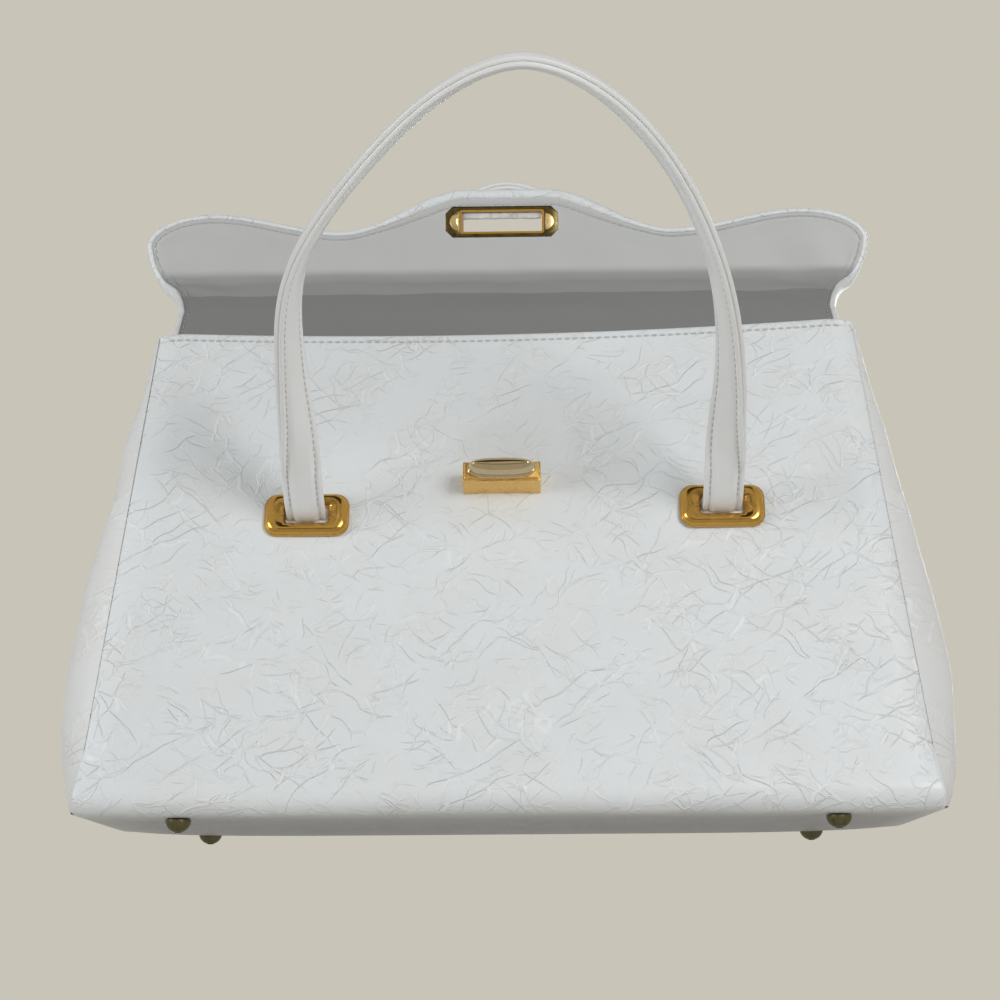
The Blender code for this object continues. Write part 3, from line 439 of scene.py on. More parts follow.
def stitches(name, tracks, length=0.0021, width=0.00042, rise=0.00030, pitch=STITCH_PITCH):
    """Small rounded stitches along tracks of (points, normals)."""
    around, along = 6, 5
    turn = np.linspace(0, math.tau, around, endpoint=False)
    step = np.linspace(-1, 1, along)[:, None]
    girth = np.clip(1 - (step * 0.98) ** 2, 0, 1) ** 0.3
    shape = (step * length / 2 + 0 * turn, girth * np.cos(turn) * width / 2, girth * np.sin(turn) * rise)
    points = []
    for path, normals in tracks:
        reach = reach_along(path)
        places = np.arange(pitch / 2, reach[-1], pitch)
        body = read_off(places, reach, path)[:, None, None]
        ahead = unit(read_off(places + pitch / 4, reach, path) - read_off(places - pitch / 4, reach, path))
        out = unit(read_off(places, reach, normals))
        for way, share in zip((ahead, np.cross(ahead, out), out), shape):
            body = body + way[:, None, None] * share[..., None]
        points.append(body.reshape(-1, 3))
    points = np.concatenate(points)
    first = np.arange(0, len(points), around * along)[:, None, None]
    faces = (grid_faces(along, around, closed=True) + first).reshape(-1, 4)
    return make_piece(name, points, faces, THREAD)


# Body leather

def corner_centre():
    line = TOP_DEPTH / 2 + (TOP_HEIGHT - CORNER_RADIUS) * math.tan(SLOPE)
    return np.array([-line + CORNER_RADIUS / math.cos(SLOPE), CORNER_RADIUS])


def half_width(z):
    return TOP_HALF_WIDTH + (BASE_HALF_WIDTH - TOP_HALF_WIDTH) * (TOP_HEIGHT - z) / TOP_HEIGHT


def half_wrap(depth=0.0, facing=0.014, step=0.0016):
    """Rows from the inside of the front's mouth over its rolled top edge, down to the middle of the base.

    Each row is (y, z, normal y, normal z, length along the skin, drop below the top edge, share of roll).
    """
    up, away = UP[1:], AWAY[1:]
    roll_centre = np.array([-TOP_DEPTH / 2, TOP_HEIGHT]) - away * depth - away * TOP_ROLL - up * TOP_ROLL
    rows = []

    def add(place, normal, drop, roll=1.0):
        rows.append((*place, *normal, drop, roll))

    for drop in np.arange(facing, 0, -step):
        add(roll_centre - away * TOP_ROLL - up * drop, -away, drop + TOP_ROLL, 0.0)
    for turn in np.linspace(math.pi, 0, 13):
        normal = away * math.cos(turn) + up * math.sin(turn)
        add(roll_centre + normal * TOP_ROLL, normal, TOP_ROLL * (1 - math.sin(turn)), 1 - turn / math.pi)
    centre = corner_centre()
    radius = CORNER_RADIUS - depth
    first = np.array(rows[-1][:2])
    run = centre + away * radius - first
    span = np.linalg.norm(run)
    for share in np.linspace(0, 1, int(span / step))[1:]:
        add(first + run * share, away, TOP_ROLL + span * share)
    drop = TOP_ROLL + span
    for turn in np.linspace(math.pi - SLOPE, 1.5 * math.pi, 15)[1:]:
        normal = np.array([math.cos(turn), math.sin(turn)])
        drop += radius * (math.pi / 2 + SLOPE) / 14
        add(centre + normal * radius, normal, drop)
    y, z = rows[-1][:2]
    for share in np.linspace(0, 1, int(-y / 0.002))[1:]:
        add((y * (1 - share), z), (0.0, -1.0), drop - y * share)
    table = np.array(rows)
    return np.column_stack([table[:, :4], reach_along(table[:, :2]), table[:, 4:]])


def whole_wrap(**options):
    """The rows of half_wrap and their mirror image, up the back."""
    half = half_wrap(**options)
    back = half[-2::-1] * (-1, 1, -1, 1, -1, 1, 1)
    back[:, 4] += 2 * half[-1, 4]
    return np.concatenate([half, back])


def top_dip(share, drop):
    """How far the edge and the skin below it hang at the middle of the bag's width."""
    return TOP_EDGE_DIP * (1 - share ** 2) * smooth(1 - np.clip(drop, 0, 0.06) / 0.06)


def top_tilt(share, drop):
    """The front edge stands a little higher at its right end than at its left."""
    return TOP_TILT * share * smooth(1 - np.clip(drop, 0, 0.15) / 0.15)


def panel_swell(x, drop, width):
    """Fullness of the skin, which rounds away from the flat toward the side edges."""
    edge = width - np.abs(x)
    above_base = 1 - 0.8 * smooth((drop - 0.165) / 0.02)
    rounding = -SIDE_ROUNDING * np.clip(1 - edge / ROUNDED_WIDTH, 0, 1) ** 2 * above_base
    body = PANEL_FULLNESS * smooth((drop - 0.085) / 0.05) * np.sin(np.clip(drop / 0.19, 0, 1) * math.pi)
    body = body * np.clip(edge / 0.05, 0, 1)
    ripple = PANEL_RIPPLE * waves(x, drop, 0.045, 5) * smooth(edge / 0.02) * smooth((drop - 0.012) / 0.02)
    return rounding + body + ripple


def panel_point(x, drop, out=0.0, back=False):
    """A place on the front or back skin, and the way out of it."""
    x, drop = np.asarray(x, float), np.asarray(drop, float)
    z = TOP_HEIGHT - drop * math.cos(SLOPE)
    width = half_width(z)
    sink = top_dip(x / width, drop) - (0 if back else 1) * top_tilt(x / width, drop)
    lift = panel_swell(x, drop, width) + out
    base = np.array([0, -TOP_DEPTH / 2, TOP_HEIGHT])
    place = base - UP * (drop + sink)[..., None] + AWAY * lift[..., None]
    place[..., 0] = x
    normal = np.broadcast_to(AWAY, place.shape).copy()
    if back:
        place[..., :2] *= -1
        normal[..., 1] *= -1
    return place, normal


def make_body_skin():
    y, z, ny, nz, length, drop, roll = (column[:, None] for column in whole_wrap().T)
    width = half_width(np.clip(z, 0, TOP_HEIGHT))
    inner = width - SIDE_ROLL - 0.0035 * (1 - roll)
    middle = inner * np.linspace(-1, 1, 190)
    turns = np.linspace(0, math.pi, 9)[1:]
    out = np.concatenate([SIDE_ROLL * np.sin(turns), (-0.0015, -0.0030, -0.0045)])
    deep = np.concatenate([SIDE_ROLL * (np.cos(turns) - 1), [-2 * SIDE_ROLL] * 3])
    side_x, side_n = inner + out * roll, deep * roll
    x = np.concatenate([-side_x[:, ::-1], middle, side_x], axis=1)
    n = np.concatenate([side_n[:, ::-1], 0 * middle, side_n], axis=1)
    under_base = smooth((drop - 0.19) / 0.02)
    swell = panel_swell(x, drop, width) * roll
    swell = swell * (1 - under_base) + under_base * (-0.0006 * np.clip(1 - (width - np.abs(x)) / 0.02, 0, 1) ** 2)
    share = x / width
    sag = BASE_SAG * (1 - np.abs(share) ** 6) * smooth((y + 0.030) / 0.040)
    n = n + swell + under_base * sag
    sink = top_dip(share, drop) - top_tilt(share, drop) * (y < 0)
    lean = sink * math.tan(SLOPE) * np.sign(y)
    points = np.stack([x, y + ny * n + lean * (z > 0.05), z + nz * n - sink * (z > 0.05)], axis=-1)
    piece = grid_piece("body_leather", points, SKIN, skin_map(x, length), flip=True)
    on_body(piece, "bag", "outer_shell")
    tracks = []
    for back in (False, True):
        x = np.linspace(-TOP_HALF_WIDTH + 0.005, TOP_HALF_WIDTH - 0.005, 160)
        tracks.append(panel_point(x, np.full_like(x, 0.0034), 0.00008, back))
    on_body(stitches("mouth_stitches", tracks, width=0.0010, rise=0.0005), "bag")


# Gussets

def inner_half_depth(z, inset):
    centre = corner_centre()
    line = TOP_DEPTH / 2 + (TOP_HEIGHT - z) * math.tan(SLOPE) - inset / math.cos(SLOPE)
    radius = CORNER_RADIUS - inset
    rise = np.clip(centre[1] - z, 0, radius)
    low = -centre[0] + np.sqrt(np.clip(radius ** 2 - rise ** 2, 0, None))
    return np.where(z >= centre[1], line, low)


BULGE_HEIGHTS = (0.0, 0.006, 0.017, 0.033, 0.049, 0.065, 0.080, 0.096, 0.112, 0.128, 0.144, 0.165, 0.187)
BULGE = (0.0036, 0.0064, 0.0108, 0.0133, 0.0147, 0.0145, 0.0135, 0.0117, 0.0098, 0.0082, 0.0066, 0.0036, 0.0008)


def gusset_points(side, inset, rows=130, columns=61):
    z = np.linspace(0.0022, TOP_HEIGHT - 0.003, rows)[:, None]
    q = np.linspace(-1, 1, columns)[None, :]
    depth = inner_half_depth(z, GUSSET_INSET)
    bulge = evened(np.interp(z[:, 0], BULGE_HEIGHTS, BULGE), 9, mode="edge")[:, None]
    fold = FOLD_DEPTH * np.clip(z / TOP_HEIGHT, 0, 1) ** 1.4
    lobe = np.sin(math.pi * np.abs(q) ** 1.25) ** 0.8
    valley = np.clip(1 - np.abs(q) / 0.62, 0, 1) ** 1.25
    x = half_width(z) - GUSSET_THICKNESS + bulge * lobe - fold * valley
    y, z = q * depth, z + 0 * q
    x = x + GUSSET_CRUMPLE * waves(z, y, 0.030, 11 + side) * lobe - inset
    return np.stack([side * x, y, z], axis=-1), skin_map(y, z)


def make_gussets():
    for side, word in SIDES:
        points, uv = gusset_points(side, 0.0)
        skin = grid_piece(word + "_gusset_leather", points, GUSSET_SKIN, uv, flip=side < 0)
        on_body(skin, "bag", word + "_gusset")
        points, uv = gusset_points(side, GUSSET_THICKNESS)
        inner = grid_piece(word + "_gusset_inside", points, INNER_SKIN, uv, flip=side > 0)
        on_body(inner, "bag")


# Lining and pocket

def make_lining():
    rows = whole_wrap(depth=LINING_DEPTH, facing=0.001)
    y, z, ny, nz, length = (column[:, None] for column in rows[rows[:, 5] > 0.012, :5].T)
    x = (half_width(z) - LINING_INSET) * np.linspace(-1, 1, 90)
    n = 0.0006 * waves(x, length + 0 * x, 0.05, 21)
    points = np.stack([x, y + ny * n, z + nz * n], axis=-1)
    piece = grid_piece("lining_skin", points, INNER_SKIN, skin_map(x, length))
    on_body(piece, "bag", "lining")
    across = np.linspace(-1, 1, 60)[None, :]
    down = np.linspace(0, 1, 50)[:, None]
    x = POCKET_HALF * across + 0 * down
    drop = POCKET_TOP + (POCKET_LOW - POCKET_TOP) * down + 0.0025 * (1 - across ** 2) * (1 - down)
    gape = 0.0052 + 0.0024 * (1 - np.abs(across) ** 3) * np.sqrt(np.clip(1 - down * 1.2, 0, 1))
    rim = np.clip(np.minimum(1 - np.abs(across), (1 - down)) / 0.03, 0, 1)
    base = np.array([0, -TOP_DEPTH / 2, TOP_HEIGHT])
    place = base - UP * drop[..., None] - AWAY * (gape * rim + 0.0047 * (1 - rim))[..., None]
    place[..., 1] *= -1
    place[..., 0] = x
    pocket = grid_piece("slip_pocket_skin", place, INNER_SKIN, skin_map(x, drop), flip=True)
    shell = pocket.modifiers.new("thickness", "SOLIDIFY")
    shell.thickness = 0.0007
    shell.offset = 0
    on_body(pocket, "bag", "inner_pocket")


# Rounded plates

def rounded_outline(width, height, corner, steps=8, straight=6):
    """Points round a rectangle with round corners, with a few along each straight side."""
    corners = []
    for number, (side_x, side_y) in enumerate(((1, 1), (-1, 1), (-1, -1), (1, -1))):
        turns = np.radians(90 * number + 90 * np.arange(steps + 1) / steps)
        x = side_x * (width / 2 - corner) + corner * np.cos(turns)
        corners.append(np.column_stack([x, side_y * (height / 2 - corner) + corner * np.sin(turns)]))
    share = np.arange(1, straight)[:, None] / straight
    points = []
    for here, after in zip(corners, corners[1:] + corners[:1]):
        points += [here, here[-1] + (after[0] - here[-1]) * share]
    return np.concatenate(points)


def frame_of(across, up, out, place):
    """A matrix from its three axes and its place."""
    matrix = Matrix([Vector(axis) for axis in (across, up, out)]).transposed().to_4x4()
    matrix.translation = Vector(place)
    return matrix


def on_face(matrix, back):
    return Matrix.Rotation(math.pi, 4, "Z") @ matrix if back else matrix


def panel_frame(back, x=0.0, drop=0.0, out=0.0):
    place = Vector((x, -TOP_DEPTH / 2, TOP_HEIGHT)) - Vector(UP) * drop + Vector(AWAY) * out
    return on_face(frame_of((1, 0, 0), UP, AWAY, place), back)


def through(matrix, points):
    turned = np.array(matrix.to_3x3())
    return np.asarray(points) @ turned.T + np.array(matrix.translation)


def ring_piece(name, rings, matrix, material, body, nodes=(), caps=(False, False)):
    """A skin through closed rings of equal count, placed by a matrix, with either end closed."""
    points = np.array(rings)
    rows, columns = points.shape[:2]
    faces = grid_faces(rows, columns, closed=True).tolist()
    if caps[0]:
        faces.append(list(range(columns))[::-1])
    if caps[1]:
        faces.append([(rows - 1) * columns + k for k in range(columns)])
    piece = make_piece(name, through(matrix, points.reshape(-1, 3)), faces, material, sharp=math.radians(40))
    on_body(piece, body, *nodes)
    return piece


def at_height(outline, height):
    return np.column_stack([outline, np.full(len(outline), height)])


def make_plates():
    outer = rounded_outline(PLATE_WIDTH, PLATE_HEIGHT, PLATE_CORNER)
    window = rounded_outline(WINDOW_WIDTH, WINDOW_HEIGHT, WINDOW_CORNER)
    section = [
        (0.0, 0.0003), (0.0, 0.0010), (0.010, 0.0013), (0.035, 0.0015), (0.06, 0.0015), (0.075, 0.0016),
        (0.10, 0.0020), (0.15, 0.0026), (0.22, 0.0031), (0.32, 0.00345), (0.45, 0.0036), (0.60, 0.00355),
        (0.75, 0.0033), (0.86, 0.0029), (0.93, 0.0024), (0.97, 0.0018), (0.99, 0.0010), (1.0, 0.0003), (1.0, -0.0016),
    ]
    rings = [at_height(outer + (window - outer) * share, height) for share, height in section]
    for back, face in FACES:
        for side, word in SIDES:
            node = face + "_" + word + "_strap_plate"
            slide, sink = (0, 0) if back else (FRONT_SLIDE, PLATE_SINK[side])
            matrix = panel_frame(back, side * PLATE_SPREAD + slide, PLATE_DROP + sink)
            ring_piece(face + "_" + word + "_gold_plate", rings, matrix, GOLD, "bag", (node,))


def oval_outline(length, width):
    turns = np.linspace(0, math.tau, 64, endpoint=False)
    circle = np.column_stack([np.cos(turns), np.sin(turns)])
    return np.sign(circle) * np.abs(circle) ** 0.78 * (length / 2, width / 2)


def make_lock():
    matrix = panel_frame(False, -LOCK_LEFT, LOCK_DROP + LOCK_LOWER)
    top = LOCK_PROJECTION
    rings = []
    for inset, height in (
        (0.0, 0.0002), (0.0, top - 0.0014), (0.00015, top - 0.0012), (0.0006, top - 0.00118),
        (0.00072, top - 0.0010), (0.00072, top - 0.0002), (0.0009, top),
    ):
        outline = rounded_outline(LOCK_WIDTH - 2 * inset, LOCK_HEIGHT - 2 * inset, 0.0004, 3, straight=4)
        rings.append(at_height(outline, height))
    caps = (False, True)
    block = ring_piece("lock_block", rings, matrix, BRUSHED_GOLD, "bag", ("lock_base",), caps)
    bevel = block.modifiers.new("edges", "BEVEL")
    bevel.width = 0.00018
    bevel.segments = 2
    bevel.limit_method = "ANGLE"
    profile = [(0.0010, 0.0), (0.0001, 0.0002), (0.0, 0.0005), (0.0002, 0.0008), (0.0009, 0.0010), (0.0003, 0.0012),
               (0.0002, 0.0015), (0.0006, 0.0018), (0.0011, 0.0019)]
    for turn in np.linspace(0.0, math.pi / 2, 12)[1:]:
        profile.append((0.0011 + 0.0058 * (1 - math.cos(turn)), 0.0019 + KNOB_BULGE * math.sin(turn)))
    rings = [at_height(oval_outline(KNOB_LENGTH - cut, KNOB_WIDTH - cut), top + 0.0003 + rise) for cut, rise in profile]
    ring_piece("turn_knob_dome", rings, matrix, BRIGHT, "turn_knob", ("lock_knob",), caps=(True, True))


def make_feet():
    profile = [(0.0001, FOOT_LOW), (0.0012, FOOT_LOW)]
    for turn in np.linspace(0.25, math.pi / 2, 12):
        profile.append((FOOT_RADIUS * math.sin(turn), -0.0007 + (FOOT_LOW + 0.0007) * math.cos(turn)))
    profile += [(FOOT_RADIUS - 0.0003, -0.0004), (FOOT_RADIUS - 0.0007, -0.0003), (0.0016, -0.0003)]
    turns = np.linspace(0, math.tau, 40, endpoint=False)
    circle = np.column_stack([np.cos(turns), np.sin(turns)])
    rings = [at_height(r * circle, h) for r, h in profile]
    for number in range(4):
        x, y = (-1, 1)[number % 2] * FOOT_HALF_SPAN, (-1, 1)[number // 2] * FOOT_HALF_DEPTH
        name, nodes = f"foot_dome_{number + 1}", (f"foot_{number + 1}",)
        ring_piece(name, rings, Matrix.Translation((x, y, 0)), AGED, "bag", nodes, caps=(True, False))


# Handles

def arch_line(rise):
    """Points (across, up) of the handle's centre line over the arch, from the left foot of the legs to the right."""
    turns = np.linspace(math.pi, 0, 900)
    x = PLATE_SPREAD * np.sign(np.cos(turns)) * np.abs(np.cos(turns)) ** ARCH_POWER
    y = ARCH_START + (rise - ARCH_START) * np.abs(np.sin(turns)) ** ARCH_POWER
    return np.concatenate([[-PLATE_SPREAD], x, [PLATE_SPREAD]]), np.concatenate([[ROOT_TOP], y, [ROOT_TOP]])


def strap_section():
    """The outer layer's section: a stitched border each side of a padded middle, with a rounded edge."""
    half = STRAP_WIDTH / 2
    a = np.linspace(-half + STRAP_ROUND, half - STRAP_ROUND, 41)
    crown = smooth((0.0049 - np.abs(a)) / 0.0024)
    groove = STITCH_GROOVE * np.exp(-((np.abs(a) - STITCH_OUT) / 0.00055) ** 2)
    top = np.column_stack([a, STRAP_BORDER + (STRAP_THICKNESS / 2 - STRAP_BORDER) * crown - groove])
    turns = np.linspace(0, math.pi / 2, 5)[1:]
    edge = (half, STRAP_BORDER) + STRAP_ROUND * (np.column_stack([np.sin(turns), np.cos(turns)]) - 1)
    low = [(half, 0.0006), (half - 0.0001, 0.0003), (half - 0.0003, 0.0001), (half - 0.0005, STRAP_SPLIT / 2)]
    inner = np.column_stack([np.linspace(half - 0.0008, -half + 0.0008, 9), np.full(9, STRAP_SPLIT / 2)])
    right = np.concatenate([edge, low])
    return np.concatenate([top, right, inner, right[::-1] * (-1, 1)])


def handle_frame(back):
    pivot = panel_frame(False, 0.0, PLATE_DROP, PIVOT_OUT).translation
    lean = Matrix.Rotation(BACK_LEAN if back else FRONT_LEAN, 4, "X")
    return on_face(Matrix.Translation(pivot) @ lean, back)


def strap_axes(path, rise):
    """Across and through for each place on the handle's line, with its twist from the plates to the arch."""
    along = unit(np.gradient(path, axis=0))
    outward = unit(np.column_stack([-along[:, 2], 0 * along[:, 0], along[:, 0]]))
    height = path[:, 2]
    turned = LEG_TWIST * (1 - np.exp(-np.clip(height - TWIST_START, 0, None) / TWIST_LENGTH))
    twist = (turned + (ARCH_TWIST - LEG_TWIST) * smooth((height - TWIST_EASE) / (rise - TWIST_EASE)))[:, None]
    through_strap = np.cross(outward, along) * np.cos(twist) + outward * np.sin(twist)
    return np.cross(along, through_strap), through_strap


def strap_rings(centres, across, through_strap, section, sign):
    a, b = section[None, :, :1], section[None, :, 1:] * sign
    return centres[:, None, :] + across[:, None, :] * a + through_strap[:, None, :] * b


def strap_skin(name, rings, section, lengths, matrix, flip):
    uv = skin_map(reach_along(section)[None, :], lengths[:, None])
    points = through(matrix, rings.reshape(-1, 3)).reshape(rings.shape)
    return grid_piece(name, points, STRAP_SKIN, uv, closed=True, flip=flip)


def root_line(side, back):
    """The strap's line from inside its plate to the leg, bending at the hinge line."""
    turned = Matrix.Rotation(-(BACK_LEAN if back else FRONT_LEAN), 3, "X")
    away, up = np.array(turned @ Vector(AWAY)), np.array(turned @ Vector(UP))
    ahead = np.array([0, 0, 1.0])
    t = np.linspace(0, 1, 18)[:, None]
    curve = (t ** 2 * ahead - (1 - t) ** 2 * away) * STRAP_BEND
    rest = np.linspace(STRAP_BEND, ROOT_TOP, 8)[1:-1, None] * ahead
    points = np.concatenate([[-away * (PIVOT_OUT - 0.0004)], curve, rest])
    points[:, 0] = side * PLATE_SPREAD
    return points, up


def strap_path(back, spacing=0.0016):
    """The whole centre line in the handle's own frame, from inside the left plate to inside the right one."""
    rise = HANDLE_RISE + (BACK_EXTRA_RISE if back else 0)
    x, y = arch_line(rise)
    left, up = root_line(-1, back)
    right, _ = root_line(1, back)
    path = np.concatenate([left, np.column_stack([x, 0 * x, y]), right[::-1]])
    path = path[np.diff(reach_along(path), prepend=-1) > 1e-7]
    reach = reach_along(path)
    even = np.linspace(0, reach[-1], int(reach[-1] / spacing))
    path = read_off(even, reach, path)
    if not back:
        low = 1 - smooth(path[:, 2] / 0.05)
        sink = np.interp(path[:, 0], (-PLATE_SPREAD, PLATE_SPREAD), (PLATE_SINK[-1], PLATE_SINK[1]))
        path -= up * (sink * low)[:, None]
        x, height = path[:, 0], path[:, 2]
        left_bow = LEFT_BOW * np.exp(-((height - LEFT_BOW_AT) / 0.028) ** 2 / 2) * smooth(-x / 0.03)
        right_bow = RIGHT_BOW * np.exp(-((height - RIGHT_BOW_AT) / 0.025) ** 2 / 2) * (x > 0)
        path[:, 0] += FRONT_SLIDE + APEX_SWAY * smooth(height / HANDLE_RISE) - left_bow - right_bow
    return path, even, rise


def make_handles():
    section = strap_section()
    for back, face in FACES:
        matrix = handle_frame(back)
        turned = np.array(matrix.to_3x3())
        bodies = ("bag", face + "_handle")
        path, lengths, rise = strap_path(back)
        across, through_strap = strap_axes(path, rise)
        pivot = np.array(matrix.translation)
        reach = (pivot - AWAY * (1, -1 if back else 1, 1) * 0.004, pivot + turned @ (0, 0, 0.010))
        tracks = []
        for sign, word in ((1, "inner"), (-1, "outer")):
            rings = strap_rings(path, across, through_strap, section, sign)
            piece = strap_skin(face + "_strap_" + word, rings, section, lengths, matrix, flip=sign > 0)
            blend(piece, bodies, *reach)
            nodes = [face + "_handle_" + word]
            if word == "outer":
                nodes += [face + "_handle_core", face + "_left_strap_end", face + "_right_strap_end"]
            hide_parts(*nodes)
            for a in (-STITCH_OUT, STITCH_OUT):
                line = path + across * a + through_strap * sign * STITCH_HEIGHT
                tracks.append((through(matrix, line[5:-5]), (through_strap * sign)[5:-5] @ turned.T))
        name = face + "_strap_stitches"
        seam = stitches(name, tracks, length=0.0019, width=0.0006, rise=0.0004, pitch=0.0027)
        blend(seam, bodies, *reach)


# Flap

def flap_bends():
    """The three hinge lines: (length along the flap, place, direction before, direction after, reach of the bend)."""
    turns = (BRIDGE_BACK, STRIP_BACK, FRONT_BACK)
    ways = [np.array([-UP[1], UP[2]])] + [np.array([-math.cos(turn), math.sin(turn)]) for turn in turns]
    bends, at, place = [], 0.0, np.array([TOP_DEPTH / 2, TOP_HEIGHT + FLAP_LIFT])
    for number, (length, reach) in enumerate(((BRIDGE_LENGTH, 0.0080), (STRIP_LENGTH, 0.0070), (0.0, 0.0050))):
        bends.append((at, place, ways[number], ways[number + 1], reach))
        at, place = at + length, place + ways[number + 1] * length
    return bends


def flap_place(s, x, h):
    """A point of the flap from its length, its place across and its height over the lining's face, and its normal."""
    s, x, h = np.broadcast_arrays(*(np.asarray(value, float) for value in (s, x, h)))
    bends = flap_bends()
    place, way = np.zeros(s.shape + (2,)), np.zeros(s.shape + (2,))
    straights = [(-1.0, 0.0, bends[0][1], bends[0][2])] + [(at, at, point, after) for at, point, _, after, _ in bends]
    for low, at, point, direction in straights:
        inside = s >= low
        place[inside] = point + direction * (s[inside] - at)[:, None]
        way[inside] = direction
    for at, point, before, after, reach in bends:
        inside = np.abs(s - at) < reach
        t = ((s[inside] - at) / reach + 1)[:, None] / 2
        first, last = point - before * reach, point + after * reach
        place[inside] = (1 - t) ** 2 * first + 2 * t * (1 - t) * point + t ** 2 * last
        way[inside] = unit(2 * (1 - t) * (point - first) + 2 * t * (last - point))
    normal = np.stack([way[..., 1], -way[..., 0]], axis=-1)
    x = x[..., None]
    return np.concatenate([x, place + normal * h[..., None]], axis=-1), np.concatenate([0 * x, normal], axis=-1)


def flap_half(drop):
    """Half the flap's width at a distance below its front fold, down to the lobes' widest place."""
    fine = np.linspace(SIDE_DROPS[0], SIDE_DROPS[-1], 60)
    halves = evened(np.interp(fine, SIDE_DROPS, SIDE_HALVES), 9, mode="reflect", reflect_type="odd")
    return np.interp(np.asarray(drop, float), fine, halves)


def free_edge(cut, spacing=0.0009):
    """The flap's edge beyond a length, from the left side round the lobes and tongue to the right side."""
    points = [(float(flap_half(d)), d) for d in np.arange(cut - BRIDGE_LENGTH, LOBE_SIDE, 0.001)]
    for turn in np.linspace(0, math.pi / 2, 60):
        x = LOBE_TIP_HALF + (LOBE_HALF - LOBE_TIP_HALF) * math.cos(turn)
        points.append((x, LOBE_SIDE + (LOBE_TIP - LOBE_SIDE) * math.sin(turn)))
    marks = ((LOBE_TIP_HALF, LOBE_TIP), (WAIST_HALF, WAIST_DROP), (TONGUE_HALF, TONGUE_DROP))
    for (x0, drop0), (x1, drop1) in zip(marks, marks[1:]):
        for share in np.linspace(0, 1, 60)[1:]:
            points.append((x0 + (x1 - x0) * share, drop0 + (drop1 - drop0) * float(smooth(share))))
    half = np.array(points)
    whole = np.concatenate([half * (-1, 1), half[::-1]])
    reach = reach_along(whole)
    even = np.linspace(0, reach[-1], int(reach[-1] / spacing))
    line = read_off(even, reach, whole)
    tangent = unit(np.column_stack([evened(np.gradient(column), 7, mode="edge") for column in line.T]))
    inward = np.column_stack([tangent[:, 1], -tangent[:, 0]])
    ends = smooth(np.minimum(even, reach[-1] - even) / 0.006)[:, None]
    level = np.column_stack([-np.sign(line[:, 0]), 0 * even])
    return line + (0, BRIDGE_LENGTH), unit(level * (1 - ends) + inward * ends)


RIM = 0.0021
BORDER = 0.0046
SEAM_IN = 0.0068
INSIDE = 0.0100
THIN_RIM = 0.55
ROOT_THICKNESS = 0.0017
WRINKLE = 0.00038


def rim_share(x):
    """How much wider the turned edge is at the tongue than along the lobes and the sides."""
    return THIN_RIM + (1 - THIN_RIM) * smooth((0.062 - np.abs(x)) / 0.030)


def edge_section(front):
    """(distance from the edge, height) on the lining side or the leather side, from the rim inward."""
    middle = FLAP_THICKNESS / 2
    deep = -(middle + 0.0007) if front else FLAP_THICKNESS - middle
    rim = [(RIM - RIM * math.cos(t), middle + deep * math.sin(t)) for t in np.linspace(0, math.pi / 2, 7)]
    if front:
        return np.array(rim + [(0.0030, -0.0008), (0.0037, -0.0007), (0.0042, -0.0003), (BORDER, 0.0004)])
    return np.array(rim + [(d, FLAP_THICKNESS) for d in (0.0032, 0.0045, 0.0062, 0.0080, INSIDE)])


def leather_section():
    """Both sides of the turned edge in one, from its inner end on the leather side round the rim."""
    return np.concatenate([edge_section(False)[::-1], edge_section(True)[1:]])


def lining_section():
    """The lining from under the turned edge inward, with the pressed line of the seam."""
    d = np.concatenate([[BORDER - 0.0006], np.linspace(BORDER - 0.0001, INSIDE, 14)])
    h = -0.00015 + 0.00035 * np.exp(-((d - SEAM_IN) / 0.0006) ** 2)
    h[0] = 0.0005
    return np.column_stack([d, h])


def wrinkle(flat):
    """Soft waves in the lining, a little stronger by the necks and in the lobes."""
    x, s = flat[..., 0], flat[..., 1]
    near = 0.35 + 0.9 * smooth((np.abs(x) - 0.085) / 0.05)
    return (WRINKLE * waves(x, s * 1.6, 0.035, 31) + 0.00032) * near


def flap_skin(name, grid, material, flip, rough=0.0, hole=False):
    """A piece of the flap from its grid of (across, length) and heights, open where the eye's slot is."""
    flat, height = grid
    points, _ = flap_place(flat[..., 1], flat[..., 0], height + rough)
    faces = grid_faces(*flat.shape[:2])
    if flip:
        faces = faces[:, ::-1]
    if hole:
        middle = flat.reshape(-1, 2)[faces].mean(axis=1)
        across = np.abs(middle[:, 0] + EYE_LEFT) < SLOT_WIDTH / 2 + SLOT_WALL
        along = np.abs(middle[:, 1] - eye_middle()) < (SLOT_ABOVE + SLOT_BELOW) / 2 + SLOT_WALL
        faces = faces[~(across & along)]
    return make_piece(name, points, faces, material, flat * 10)


def swept_edge(cut, section):
    """Flat grid and heights of a section swept round the free edge beyond the cut."""
    edge, inward = free_edge(cut)
    thin = rim_share(edge[:, 0])[:, None, None]
    flat = edge[:, None, :] + inward[:, None, :] * section[None, :, :1] * thin
    flat[0, :, 1] = flat[-1, :, 1] = cut
    return flat, np.broadcast_to(section[:, 1], flat.shape[:2])


def fan(cut, inner, height):
    """Flat grid and heights from the inner line of the swept edge to the straight cut."""
    span = flap_half(cut - BRIDGE_LENGTH) - INSIDE * THIN_RIM
    start = np.column_stack([np.linspace(-span, span, len(inner)), np.full(len(inner), cut)])
    share = np.linspace(0, 1, 70)[:, None]
    flat = inner[:, None, :] * (1 - share) + start[:, None, :] * share
    return flat, np.full(flat.shape[:2], height)


